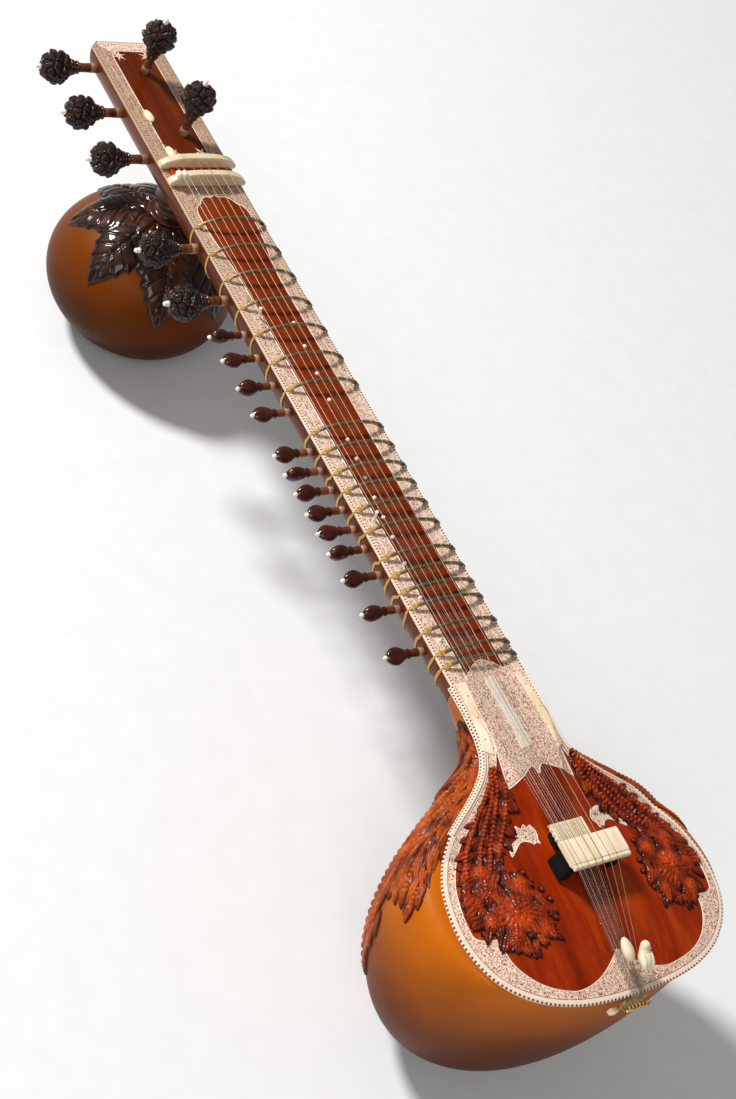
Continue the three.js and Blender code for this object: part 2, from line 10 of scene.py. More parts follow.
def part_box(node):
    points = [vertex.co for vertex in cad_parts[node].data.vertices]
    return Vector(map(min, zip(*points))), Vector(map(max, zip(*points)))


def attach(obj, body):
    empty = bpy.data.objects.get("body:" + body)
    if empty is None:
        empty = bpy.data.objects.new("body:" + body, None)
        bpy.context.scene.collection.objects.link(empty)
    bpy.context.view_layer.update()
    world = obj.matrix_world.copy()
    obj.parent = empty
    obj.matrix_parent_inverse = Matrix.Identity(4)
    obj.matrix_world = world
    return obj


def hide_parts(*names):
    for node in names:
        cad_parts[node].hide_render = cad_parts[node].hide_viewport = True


# A double-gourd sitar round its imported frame. Lengths are in millimetres until a mesh is made.
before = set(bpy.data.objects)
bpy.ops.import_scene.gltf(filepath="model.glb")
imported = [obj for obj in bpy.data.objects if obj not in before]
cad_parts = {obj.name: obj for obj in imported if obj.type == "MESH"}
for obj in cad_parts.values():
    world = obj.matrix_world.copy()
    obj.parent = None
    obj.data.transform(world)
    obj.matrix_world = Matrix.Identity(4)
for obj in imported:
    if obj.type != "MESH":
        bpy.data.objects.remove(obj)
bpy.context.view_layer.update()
random.seed(11)

MM = 0.001


def box_mm(node):
    low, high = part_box(node)
    return low / MM, high / MM


def middle_mm(node):
    low, high = box_mm(node)
    return (low + high) / 2


def shift(x, y, z):
    return Matrix.Translation((x, y, z))


def rotation(degrees, axis):
    return Matrix.Rotation(math.radians(degrees), 4, axis)


# ---- sizes read from the frame ----
FACE_Z = box_mm("neck_faceplate")[1].z
HALF_WIDTH = box_mm("neck_faceplate")[1].y
NECK_LOW, NECK_HIGH = box_mm("neck")
JOINT_LOW, JOINT_HIGH = box_mm("neck_joint")
NUT_LOW, NUT_HIGH = box_mm("nut")
GUIDE_LOW, GUIDE_HIGH = box_mm("string_guide")
HEAD_LOW, HEAD_HIGH = box_mm("headstock_face")
PLATE_LOW, PLATE_HIGH = box_mm("main_bridge_plate")
SMALL_LOW, SMALL_HIGH = box_mm("small_bridge")
UPPER_LOW, UPPER_HIGH = box_mm("upper_gourd")
SOCKET_LOW, SOCKET_HIGH = box_mm("upper_gourd_socket")
TAIL_LOW, TAIL_HIGH = box_mm("tailpiece")
MOUNT_FOOT = box_mm("upper_gourd_mount")[0].z
NUT_X = middle_mm("nut").x
GUIDE_X = middle_mm("string_guide").x
UPPER_X = middle_mm("upper_gourd").x
UPPER_RADIUS = (UPPER_HIGH.x - UPPER_LOW.x) / 2
BRIDGE_X, BRIDGE_Y, _ = middle_mm("main_bridge_plate")
SMALL_BRIDGE_Y = middle_mm("small_bridge").y
TAIL_Y = middle_mm("tailpiece").y


# ---- the body's curves, as in the frame ----
GOURD_WALL = 7
GOURD_SWEEP = 1.4416
SWELL_POWER = 0.58
CLOSE_POWER = 0.677
SINK_POWER = 1.475
BELLY_HALF_LENGTH = 130
BELLY_HALF_WIDTH = 207
BELLY_X = 51
RIM_DROP = 30
RIM_LEVEL_X = 73
BOARD_THICK = 4
GAP = 0.3  # between a piece and the one that it lies on
BOARD_CROWN = 18
BOARD_MIDDLE = 20
PEAR_END_X = 193
UPPER_Z = 86
UPPER_HALF_HEIGHT = 89
NECK_BELLY = 41
PEG_AXIS_Z = FACE_Z - 14

# Half of the soundboard's outline, from the tail to the neck.
PEAR_HALF = [
    (-89, 0), (-87, 40), (-81, 75), (-68, 107), (-47, 132), (-22, 145.5), (8, 150), (41, 144.5),
    (64, 134), (89, 115), (104, 96), (116, 79), (131, 61), (145, 51), (163, 46), (PEAR_END_X, 45.5),
]
BRIDGE_STRINGS_Y = [36, 31, 23, 14, 6, -3, -12]
NUT_STRINGS_Y = [39, 32, 20, 10, 0, -11, -22]
MAIN_STRING_RADIUS = [0.26, 0.24, 0.22, 0.32, 0.42, 0.26, 0.24]
TAIL_STRING_GAP = 2.2
THIN_STRING_RADIUS = 0.15
THIN_STRING_GAP = 2.75
FACE_PEGS = ["face_peg_1", "face_peg_2"]
SIDE_PEGS = [f"side_peg_{n}" for n in range(1, 6)]
THIN_PEGS = [f"sympathetic_peg_{n:02d}" for n in range(1, 14)]
FRETS = [f"fret_{n:02d}" for n in range(1, 21)]
KNOB_TURNS = [10, 80, 35, 75, 60, 5, 40, 70, 85, 15, 50, 25, 65]


# ---- curves and meshes ----
def spline(points, steps):
    """A smooth curve through the points, as steps + 1 points at even distances along it."""
    knots = np.array(points, float)
    last = len(knots) - 1
    dense = []
    for place in np.linspace(0, last, 30 * last + 1):
        k = min(int(place), last - 1)
        w = place - k
        before = knots[max(k - 1, 0)]
        here = knots[k]
        there = knots[k + 1]
        after = knots[min(k + 2, last)]
        v0 = (there - before) / 2
        v1 = (after - here) / 2
        cubic = (2 * here - 2 * there + v0 + v1) * w**3
        dense.append(cubic + (-3 * here + 3 * there - 2 * v0 - v1) * w**2 + v0 * w + here)
    return evenly(np.array(dense), steps)


def gone_along(line):
    """The length from the line's start to each of its points."""
    return np.r_[0, np.cumsum(np.linalg.norm(np.diff(line, axis=0), axis=1))]


def evenly(line, steps):
    """The same line with steps + 1 points at even distances."""
    gone = gone_along(line)
    even = np.linspace(0, gone[-1], steps + 1)
    return np.column_stack([np.interp(even, gone, line[:, i]) for i in range(line.shape[1])])


def left_of(line):
    """Unit vectors to the left of a flat line's direction."""
    ahead = np.gradient(line, axis=0)
    ahead /= np.linalg.norm(ahead, axis=1, keepdims=True)
    return np.column_stack([-ahead[:, 1], ahead[:, 0]])


def smoothstep(value, low, high):
    t = np.clip((value - low) / (high - low), 0, 1)
    return t * t * (3 - 2 * t)


def grid_faces(rows, cols, wrap=False):
    """Quads between rows of points; wrap joins each row's end to its start."""
    r, c = np.meshgrid(np.arange(rows - 1), np.arange(cols if wrap else cols - 1), indexing="ij")
    here = r * cols + c
    beside = r * cols + (c + 1) % cols
    return np.stack([here, beside, beside + cols, here + cols], -1).reshape(-1, 4)


def closed_skin(rings):
    """A closed skin over rows of rings, each an N x 3 array, with a fan over both ends."""
    rings = np.array(rings, float)
    rows, cols = rings.shape[:2]
    points = rings.reshape(-1, 3).tolist()
    faces = grid_faces(rows, cols, wrap=True).tolist()
    for first, flip in ((0, True), ((rows - 1) * cols, False)):
        points.append(np.mean(points[first : first + cols], axis=0).tolist())
        tip = len(points) - 1
        for i in range(cols):
            pair = [first + i, first + (i + 1) % cols]
            faces.append([*(pair[::-1] if flip else pair), tip])
    return points, faces


def ring(radius, z, sides):
    turns = np.linspace(0, 2 * math.pi, sides, endpoint=False)
    return np.column_stack([radius * np.cos(turns), radius * np.sin(turns), np.full(sides, z)])


def turned(profile, sides=48):
    """A turned piece about Z from [radius, height] pairs that start and end on the axis."""
    return closed_skin([ring(r, z, sides) for r, z in profile[1:-1]])


def tube(line, radius, sides=8):
    """A round tube along a line of points; radius is one number or one for each point."""
    line = np.array(line, float)
    radii = np.broadcast_to(radius, len(line))
    ahead = np.gradient(line, axis=0)
    ahead /= np.linalg.norm(ahead, axis=1, keepdims=True)
    up = np.array([0.0, 0.0, 1.0])
    if abs(ahead[0] @ up) > 0.9:
        up = np.array([1.0, 0.0, 0.0])
    turns = np.linspace(0, 2 * math.pi, sides, endpoint=False)
    rings = []
    for place, along, size in zip(line, ahead, radii):
        side = np.cross(up, along)
        side /= np.linalg.norm(side)
        up = np.cross(along, side)
        rings.append(place + size * (np.outer(np.cos(turns), side) + np.outer(np.sin(turns), up)))
    return closed_skin(rings)


def merged(parts):
    """Several (points, faces) as one."""
    points = []
    faces = []
    for part_points, part_faces in parts:
        start = len(points)
        points += [tuple(p) for p in part_points]
        faces += [[i + start for i in face] for face in part_faces]
    return points, faces


def moved(part, matrix):
    points, faces = part
    return [tuple(matrix @ Vector(p)) for p in points], faces


def piece(name, part, material, body="root", stands_for=(), uv=None, flat_shaded=False):
    """Makes one object from (points, faces) in millimetres and puts it on its body."""
    points, faces = part
    mesh = bpy.data.meshes.new(name)
    mesh.from_pydata((np.array(points, float) * MM).tolist(), [], [list(map(int, f)) for f in faces])
    mesh.materials.append(material)
    if uv is not None:
        layer = mesh.uv_layers.new(name="across")
        corners = np.empty(len(mesh.loops), int)
        mesh.loops.foreach_get("vertex_index", corners)
        layer.data.foreach_set("uv", np.array(uv, np.float32)[corners].ravel())
    tidy = bmesh.new()
    tidy.from_mesh(mesh)
    bmesh.ops.recalc_face_normals(tidy, faces=tidy.faces)
    tidy.to_mesh(mesh)
    tidy.free()
    mesh.polygons.foreach_set("use_smooth", [not flat_shaded] * len(mesh.polygons))
    made = bpy.data.objects.new(name, mesh)
    bpy.context.scene.collection.objects.link(made)
    return on_body(made, body, stands_for)


def on_body(made, body, stands_for=()):
    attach(made, body)
    if stands_for:
        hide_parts(*stands_for)
    return made


def rounded(made, width, segments=3, angle=35):
    """Rounds a piece's edges."""
    bevel = made.modifiers.new("rounded", "BEVEL")
    bevel.width = width * MM
    bevel.segments = segments
    bevel.limit_method = "ANGLE"
    bevel.angle_limit = math.radians(angle)
    bevel.harden_normals = True
    return made


def slab(outline, low, high):
    """A flat plate with the given outline in X and Y."""
    count = len(outline)
    points = [(x, y, z) for z in (low, high) for x, y in outline]
    faces = [list(range(count))[::-1], list(range(count, 2 * count))]
    faces += [[i, (i + 1) % count, (i + 1) % count + count, i + count] for i in range(count)]
    return points, faces


def bar_along_x(outline, x0, x1):
    """A bar whose section in Y and Z is the outline."""
    points, faces = slab(outline, x0, x1)
    return [(x, y, z) for y, z, x in points], faces


def bar_along_y(outline, y0, y1):
    """A bar whose section in X and Z is the outline."""
    points, faces = slab(outline, y0, y1)
    return [(x, y, z) for x, z, y in points], faces


# ---- materials ----
class Look:
    """A procedural material: a Principled shader with constant settings and nodes on its colour and bump."""

    def __init__(self, name, roughness, metallic=0.0, coat=0.0, coat_roughness=0.05, specular=0.5):
        self.material = bpy.data.materials.new(name)
        self.material.use_nodes = True
        self.tree = self.material.node_tree
        self.shader = self.tree.nodes["Principled BSDF"]
        self.shader.inputs["Roughness"].default_value = roughness
        self.shader.inputs["Metallic"].default_value = metallic
        self.shader.inputs["Coat Weight"].default_value = coat
        self.shader.inputs["Coat Roughness"].default_value = coat_roughness
        self.shader.inputs["Specular IOR Level"].default_value = specular

    def node(self, kind, inputs, **settings):
        """A node whose inputs are given as sockets to link or as values."""
        made = self.tree.nodes.new(kind)
        for key, value in settings.items():
            setattr(made, key, value)
        for key, value in inputs.items():
            if isinstance(value, bpy.types.NodeSocket):
                self.tree.links.new(value, made.inputs[key])
            else:
                made.inputs[key].default_value = value
        return made

    def place(self, scale=(1, 1, 1)):
        source = self.node("ShaderNodeTexCoord", {}).outputs["Object"]
        return self.node("ShaderNodeMapping", {"Vector": source, "Scale": scale}).outputs[0]

    def parts(self, vector):
        return self.node("ShaderNodeSeparateXYZ", {"Vector": vector}).outputs

    def uv(self):
        return self.parts(self.node("ShaderNodeUVMap", {}, uv_map="across").outputs[0])

    def noise(self, vector, scale, detail=4.0, roughness=0.55):
        inputs = {"Vector": vector, "Scale": scale, "Detail": detail, "Roughness": roughness}
        return self.node("ShaderNodeTexNoise", inputs).outputs["Fac"]

    def ramp(self, value, stops, hard=False):
        made = self.node("ShaderNodeValToRGB", {"Fac": value})
        made.color_ramp.interpolation = "CONSTANT" if hard else "LINEAR"
        elements = made.color_ramp.elements
        while len(elements) < len(stops):
            elements.new(0.5)
        for element, (position, colour) in zip(elements, stops):
            element.position = position
            element.color = (*colour, 1)
        return made.outputs["Color"]

    def mix(self, value, first, second, blend="MIX"):
        inputs = {0: value}
        for key, shade in ((6, first), (7, second)):
            inputs[key] = shade if isinstance(shade, bpy.types.NodeSocket) else (*shade, 1)
        return self.node("ShaderNodeMix", inputs, data_type="RGBA", blend_type=blend).outputs[2]

    def maths(self, operation, first, second=0.0):
        return self.node("ShaderNodeMath", {0: first, 1: second}, operation=operation).outputs[0]

    def to_shader(self, socket, output):
        self.tree.links.new(output, self.shader.inputs[socket])
        return self

    def colour(self, output):
        return self.to_shader("Base Color", output)

    def rough(self, value, low, high):
        made = self.node("ShaderNodeMapRange", {"Value": value, "To Min": low, "To Max": high})
        return self.to_shader("Roughness", made.outputs[0])

    def bump(self, height, strength, distance):
        made = self.node("ShaderNodeBump", {"Height": height, "Strength": strength, "Distance": distance})
        return self.to_shader("Normal", made.outputs[0])


def wood(name, dark, middle, light, roughness, coat, streaks=26.0):
    """Lacquered wood with its grain along X."""
    look = Look(name, roughness, coat=coat, coat_roughness=0.08, specular=0.1)
    along = look.place((0.06, 1, 1))
    broad = look.noise(along, streaks, 5.0, 0.6)
    fine = look.noise(along, streaks * 9, 6.0, 0.7)
    grain = look.maths("ADD", look.maths("MULTIPLY", broad, 0.72), look.maths("MULTIPLY", fine, 0.28))
    look.colour(look.ramp(grain, [(0.36, dark), (0.5, middle), (0.64, light)]))
    pores = look.noise(look.place((0.03, 1, 1)), streaks * 30, 3.0, 0.5)
    look.rough(pores, roughness * 0.8, roughness * 1.25)
    return look.bump(pores, 0.12, 0.0002).material


def carved_wood(name, hollow, low, high, roughness, coat):
    """Carved wood under thick lacquer, with painted shade in its hollows. Its UV map holds the carving's
    height, which is 0 in the hollows.
    A turned piece has no such map, and None for the hollows' painted shade."""
    look = Look(name, roughness, coat=coat, coat_roughness=0.06, specular=0.1)
    patch = look.noise(look.place(), 60.0, 5.0, 0.65)
    fibre = look.noise(look.place((0.5, 1, 1)), 300.0, 4.0, 0.65)
    shade = look.ramp(patch, [(0.35, low), (0.65, high)])
    if hollow:
        # Painted shade: the hollow colour takes over where the carving is low.
        shade = look.mix(look.uv()[0], hollow, shade)
    look.colour(shade)
    return look.bump(fibre, 0.5, 0.0012).material


def gourd_skin(name, low, middle, high, top_z):
    """Satin lacquer on calabash, with painted shade making it darker and browner low down."""
    look = Look(name, 0.42, specular=0.07)
    mottle = look.noise(look.place(), 9.0, 4.0, 0.5)
    # Painted shade: the colour darkens as the height falls, where the underside turns from the light.
    height = look.parts(look.place())[2]
    painted_shade_height = look.maths("DIVIDE", height, top_z * MM)
    mottle_and_painted_shade = look.maths("ADD", look.maths("MULTIPLY", mottle, 0.3), look.maths("MULTIPLY", painted_shade_height, 0.7))
    look.colour(look.ramp(mottle_and_painted_shade, [(0.2, low), (0.5, middle), (0.8, high)]))
    skin = look.noise(look.place(), 140.0, 5.0, 0.6)
    look.rough(skin, 0.36, 0.48)
    return look.bump(skin, 0.1, 0.0004).material


def bone(name, shade, roughness=0.34):
    """Polished bone with faint streaks."""
    look = Look(name, roughness, coat=0.1, coat_roughness=0.15, specular=0.3)
    streak = look.noise(look.place((0.25, 1, 1)), 120.0, 4.0, 0.6)
    paler = tuple(min(1, c * 1.08) for c in shade)
    deeper = (shade[0] * 0.86, shade[1] * 0.8, shade[2] * 0.68)
    look.colour(look.ramp(streak, [(0.3, deeper), (0.52, shade), (0.75, paler)]))
    return look.bump(streak, 0.1, 0.0003).material


BONE_PALE = (0.88, 0.7, 0.54)
ETCH_PINK = (0.62, 0.31, 0.22)
ETCH_DARK = (0.1, 0.03, 0.02)
ROPE_DARK = (0.16, 0.06, 0.03)
# Painted shade on the neck's bone: the colour is multiplied darker and a little browner towards the head end.
HEAD_END_SHADE = (0.62, 0.55, 0.47)
SHADE_FROM, SHADE_TO = 0.55, 0.9  # where along the neck painted shade darkens the bone towards the head, in metres
DOT_PITCH = 3.4
ROPE_PITCH = 4.2


def etched_colour(look):
    """Bone scratched all over and filled with pink and dark ink."""
    cell = look.node("ShaderNodeTexVoronoi", {"Vector": look.place(), "Scale": 1050.0})
    tint = look.node("ShaderNodeSeparateColor", {"Color": cell.outputs["Color"]}).outputs[0]
    return look.ramp(tint, [(0.0, BONE_PALE), (0.5, ETCH_PINK), (0.9, ETCH_DARK)], hard=True)


def etched_bone(name):
    look = Look(name, 0.45, specular=0.2)
    return look.colour(etched_colour(look)).material


def stripes(look, along, pitch, wave, threshold):
    """1 on one part of each pitch along the edge and 0 on the rest."""
    phase = look.maths("MULTIPLY", along, 2 * math.pi / (pitch * MM))
    return look.maths("GREATER_THAN", look.maths(wave, phase), threshold)


def banded_bone(name, bands, shaded_to_head=False):
    """Etched bone whose bands follow the distance from the edge, held in the UV map in metres.
    Each band is (from, kind): plain bone, etched, a dark line, dots in a row, offset_dots or rope."""
    look = Look(name, 0.45, specular=0.2)
    along, across, _ = look.uv()
    shades = {"plain": BONE_PALE, "line": ETCH_DARK, "etched": etched_colour(look)}
    for kind, wave in (("dots", "SINE"), ("offset_dots", "COSINE")):
        shades[kind] = look.mix(stripes(look, along, DOT_PITCH, wave, 0.1), BONE_PALE, ETCH_DARK)
    shades["rope"] = look.mix(stripes(look, along, ROPE_PITCH, "COSINE", -0.05), ROPE_DARK, BONE_PALE)
    result = shades[bands[0][1]]
    for start, kind in bands[1:]:
        result = look.mix(look.maths("GREATER_THAN", across, start * MM), result, shades[kind])
    # Painted shade: the bone darkens towards the head end, where less light falls.
    if shaded_to_head:
        inputs = {"Value": along, "From Min": SHADE_FROM, "From Max": SHADE_TO}
        share = look.node("ShaderNodeMapRange", inputs).outputs[0]
        result = look.mix(share, result, HEAD_END_SHADE, "MULTIPLY")
    return look.colour(result).material


def metal(name, shade, roughness, wear=0.3):
    """Handled metal, its polish uneven."""
    look = Look(name, roughness, metallic=1.0)
    patch = look.noise(look.place(), 180.0, 4.0, 0.6)
    dull = tuple(c * (1 - wear) for c in shade)
    look.colour(look.ramp(patch, [(0.35, dull), (0.65, shade)]))
    return look.rough(patch, roughness * 0.8, roughness * 1.4).material


def thread(name, shade):
    """Twisted silk thread."""
    look = Look(name, 0.6)
    look.shader.inputs["Sheen Weight"].default_value = 0.3
    twist = look.node("ShaderNodeTexWave", {"Vector": look.place(), "Scale": 900.0, "Distortion": 2.0})
    deeper = tuple(c * 0.45 for c in shade)
    look.colour(look.ramp(twist.outputs["Fac"], [(0.2, deeper), (0.7, shade)]))
    return look.bump(twist.outputs["Fac"], 0.5, 0.0003).material


def pale_floor():
    look = Look("floor_matt", 0.9, specular=0.1)
    fleck = look.noise(look.place(), 30.0, 3.0)
    return look.colour(look.ramp(fleck, [(0.3, (0.86, 0.86, 0.85)), (0.7, (0.89, 0.89, 0.88))])).material


MAHOGANY = wood("mahogany", (0.15, 0.008, 0.0005), (0.3, 0.022, 0.001), (0.46, 0.052, 0.003), 0.3, 0.1)
HEAD_WOOD = wood("head_wood", (0.06, 0.006, 0.0005), (0.11, 0.014, 0.001), (0.17, 0.026, 0.002), 0.3, 0.15)
NECK_WOOD = wood("neck_wood_grain", (0.05, 0.007, 0.001), (0.11, 0.02, 0.002), (0.2, 0.045, 0.006), 0.34, 0.1)
PANEL_WOOD = wood("panel_wood", (0.13, 0.012, 0.001), (0.22, 0.026, 0.002), (0.32, 0.05, 0.005), 0.32, 0.1)
JOINT_WOOD = wood("joint_wood", (0.26, 0.05, 0.004), (0.42, 0.1, 0.01), (0.56, 0.16, 0.02), 0.34, 0.1)
SHAFT_WOOD = wood(
    "shaft_wood", (0.05, 0.012, 0.004), (0.13, 0.035, 0.012), (0.24, 0.08, 0.03), 0.4, 0.2, 90.0)
PALE_SHAFT = wood("pale_shaft", (0.2, 0.09, 0.05), (0.36, 0.19, 0.11), (0.5, 0.31, 0.2), 0.4, 0.2, 90.0)
# Each carved wood's first colour is the painted shade in its hollows.
CARVED_RED = carved_wood(
    "carved_red", (0.01, 0.0005, 0.0005), (0.16, 0.01, 0.0005), (0.55, 0.055, 0.002), 0.4, 0.35)
CARVED_ORANGE = carved_wood(
    "carved_orange", (0.03, 0.002, 0.0005), (0.28, 0.03, 0.001), (0.64, 0.12, 0.004), 0.4, 0.2)
CARVED_DARK = carved_wood(
    "carved_dark", (0.004, 0.001, 0.0003), (0.014, 0.0035, 0.001), (0.06, 0.016, 0.003), 0.45, 0.6)
TURNED_DARK = carved_wood("turned_dark", None, (0.02, 0.006, 0.002), (0.06, 0.018, 0.006), 0.45, 0.5)
THIN_KNOB_WOOD = carved_wood("thin_knob", None, (0.02, 0.003, 0.002), (0.08, 0.01, 0.005), 0.3, 0.6)
EBONY = carved_wood("ebony", None, (0.006, 0.006, 0.006), (0.014, 0.013, 0.012), 0.5, 0.0)
# Each gourd skin's colours run from low down to high up, with shade painted in low down.
MAIN_SKIN = gourd_skin(
    "main_gourd_skin", (0.015, 0.0035, 0.0005), (0.16, 0.033, 0.002), (0.56, 0.135, 0.004), 256)
UPPER_SKIN = gourd_skin(
    "upper_gourd_skin", (0.006, 0.0012, 0.0003), (0.095, 0.02, 0.001), (0.2, 0.045, 0.001), 175)
BONE = bone("bone_cream", (0.92, 0.77, 0.55))
NUT_BONE = bone("bone_aged", (0.76, 0.61, 0.41))
WHITE_BONE = bone("bone_white", (0.95, 0.85, 0.74))
ETCHED = etched_bone("etched_bone")
NECK_BANDS = [
    (-9, "plain"), (0.8, "dots"), (2.8, "plain"), (3.8, "etched"), (9.8, "plain"), (11, "etched"),
    (19.6, "plain"), (20.6, "etched"),
]
RIM_BANDS = [(-9, "plain"), (3.4, "line"), (3.9, "etched")]
# The neck's and head's bone, with painted shade towards the head.
NECK_BORDER = banded_bone("neck_border", NECK_BANDS, shaded_to_head=True)
RIM_BORDER = banded_bone("rim_border", RIM_BANDS)
ROPE_BONE = banded_bone("rope_bone", [(-9, "rope")])
RIBBON_BANDS = [(-9, "plain"), (0.9, "dots"), (2.7, "plain"), (3.9, "offset_dots"), (5.7, "plain")]
RIBBON_BONE = banded_bone("ribbon_bone", RIBBON_BANDS)
FRET_METAL = metal("fret_metal", (0.45, 0.33, 0.17), 0.36)
STEEL = metal("string_steel", (0.5, 0.45, 0.36), 0.45, 0.1)
BRONZE = metal("string_bronze", (0.42, 0.26, 0.12), 0.45, 0.1)
BRASS = metal("brass_gilt", (0.7, 0.48, 0.17), 0.3)
GOLD_THREAD = thread("gold_thread", (0.9, 0.5, 0.05))
DARK_THREAD = thread("dark_thread", (0.12, 0.075, 0.035))
INK = carved_wood("ink", None, (0.02, 0.012, 0.01), (0.035, 0.02, 0.015), 0.5, 0.0)


# ---- the body's surfaces ----
PEAR = spline(PEAR_HALF, 400)
PEAR_TURN = np.arctan2(PEAR[:, 1], PEAR[:, 0] - BOARD_MIDDLE)[::-1]
PEAR_REACH = np.hypot(PEAR[:, 0] - BOARD_MIDDLE, PEAR[:, 1])[::-1]


def rim_drop(x):
    along = np.clip((PEAR_END_X - x) / (PEAR_END_X - RIM_LEVEL_X), 0, 1)
    return RIM_DROP * along**1.5


def outline_reach(turn):
    """How far the soundboard's outline lies from its middle point, in the given direction."""
    turn = np.abs(turn)
    end = (PEAR_END_X - BOARD_MIDDLE) / np.maximum(np.cos(turn), 1e-3)
    return np.where(turn < PEAR_TURN[0], end, np.interp(turn, PEAR_TURN, PEAR_REACH))


def board_z(x, y):
    """Height of the soundboard's face, and of the neck's face beyond it."""
    x = np.asarray(x, float)
    y = np.asarray(y, float)
    out = np.hypot(x - BOARD_MIDDLE, y) / outline_reach(np.arctan2(y, x - BOARD_MIDDLE))
    crown = BOARD_CROWN * np.clip(1 - out * out, 0, 1) ** 1.3
    return FACE_Z - rim_drop(x) + np.where(x < PEAR_END_X, crown, 0)


def gourd_point(u, tilt, inset=0.0):
    """A point of the gourd's skin: u runs from the tail (0) to the neck (1), tilt from rim to underside."""
    side = np.where(u < 0, -1, 1)
    u = np.abs(u)
    k = u * (len(PEAR) - 1)
    pear_x = np.interp(k, np.arange(len(PEAR)), PEAR[:, 0])
    pear_y = np.interp(k, np.arange(len(PEAR)), PEAR[:, 1])
    angle = tilt * GOURD_SWEEP
    swell = np.sin(angle) ** SWELL_POWER
    close = np.cos(angle) ** CLOSE_POWER
    deep = (np.sin(angle) / math.sin(GOURD_SWEEP)) ** SINK_POWER
    oval_x = BELLY_X * (1 - tilt) - BELLY_HALF_LENGTH * np.cos(np.pi * u) * close
    oval_y = BELLY_HALF_WIDTH * np.sin(np.pi * u) * close
    x = (1 - swell) * pear_x + swell * oval_x
    y = (1 - swell) * pear_y + swell * oval_y
    size = np.maximum(np.hypot(x - BOARD_MIDDLE, y), 1e-6)
    x = x - inset * (x - BOARD_MIDDLE) / size
    y = (y - inset * y / size) * side
    z = (FACE_Z - BOARD_THICK - rim_drop(pear_x)) * (1 - deep) + inset * deep
    return np.stack(np.broadcast_arrays(x, y, z), -1)


def taken_from(mesh):
    """The points and faces of a bmesh, which is freed."""
    mesh.verts.index_update()
    part = [tuple(v.co) for v in mesh.verts], [[v.index for v in f.verts] for f in mesh.faces]
    mesh.free()
    return part


def main_gourd():
    """The shell, cut flat where it meets the neck joint."""
    round_trip = np.r_[np.linspace(0, 1, 90, endpoint=False), np.linspace(-1, 0, 90, endpoint=False)]
    tilts = np.linspace(0, 1, 56) ** 1.5
    skin = [gourd_point(round_trip, t) for t in tilts[::-1]]
    hollow = [gourd_point(round_trip, t, GOURD_WALL) for t in tilts[::2]]
    points, faces = closed_skin(skin + hollow)
    shell = bmesh.new()
    corners = [shell.verts.new(p) for p in points]
    for face in faces:
        shell.faces.new([corners[i] for i in face])
    everything = shell.verts[:] + shell.edges[:] + shell.faces[:]
    seam = (JOINT_LOW.x, 0, 0)
    cut = bmesh.ops.bisect_plane(shell, geom=everything, plane_co=seam, plane_no=(1, 0, 0), clear_outer=True)
    edges = [e for e in cut["geom_cut"] if isinstance(e, bmesh.types.BMEdge)]
    bmesh.ops.triangle_fill(shell, use_beauty=True, edges=edges)
    piece("gourd_shell", taken_from(shell), MAIN_SKIN, stands_for=["main_gourd"])


JOINT_STATIONS = [
    (JOINT_LOW.x, 49, 71, 114),
    (156, 47.6, 61, 97),
    (164, 46.2, 51, 76),
    (175, 45.8, 47, 62),
    (PEAR_END_X, 45.3, 45.6, 53),
    (JOINT_HIGH.x, HALF_WIDTH, HALF_WIDTH, 42),
]
JOINT_CURVE = spline(JOINT_STATIONS, 60)


def joint_point(x, along):
    """A point of the neck joint's skin: along runs from 0 at the +Y edge round below to 1 at the -Y edge."""
    top_half, widest, depth = (np.interp(x, JOINT_CURVE[:, 0], JOINT_CURVE[:, i]) for i in (1, 2, 3))
    widest = np.maximum(widest, top_half)
    top_z = FACE_Z - BOARD_THICK - rim_drop(x) - GAP
    top_turn = np.arccos(np.clip(top_half / widest, -1, 1))
    high = depth / (1 + np.sin(top_turn))
    turn = top_turn - (np.pi + 2 * top_turn) * along
    z = top_z + high * (np.sin(turn) - np.sin(top_turn))
    return np.stack(np.broadcast_arrays(x, widest * np.cos(turn), z), -1)


def neck_joint():
    along = np.linspace(0, 1, 64)
    rings = [joint_point(x, along) for x in JOINT_CURVE[:, 0]]
    part = closed_skin(rings)
    rounded(piece("neck_joint_wood", part, JOINT_WOOD, stands_for=["neck_joint"]), 0.6)


def outline_points(steps):
    """The soundboard's whole outline, from the neck round the tail and back."""
    half = spline(PEAR_HALF, steps)[::-1]
    return np.vstack([half, half[-2::-1] * [1, -1]])


def soundboard():
    outline = outline_points(110)
    reaches = np.r_[0.02, np.linspace(0.08, 1, 30)]
    rings = []
    for lower, order in ((BOARD_THICK - GAP, reaches), (0, reaches[::-1])):
        for reach in order:
            x = BOARD_MIDDLE + (outline[:, 0] - BOARD_MIDDLE) * reach
            y = outline[:, 1] * reach
            z = FACE_Z - rim_drop(x) + BOARD_CROWN * (1 - reach * reach) ** 1.3 - lower
            rings.append(np.column_stack([x, y, z]))
    piece("soundboard_top", closed_skin(rings), MAHOGANY, stands_for=["soundboard"])


# ---- the rim's binding ----
BINDING_WIDTH = 10.5
NECK_BINDING_WIDTH = 4
BINDING_LIFT = 0.4
# Points of the binding that reach into the soundboard: direction from its middle in degrees, depth,
# and how wide the point is on its neck side and on its tail side, in degrees.
BINDING_POINTS = [(104, 31, 7, 42), (174, 39, 30, 30), (247, 31, 30, 7)]


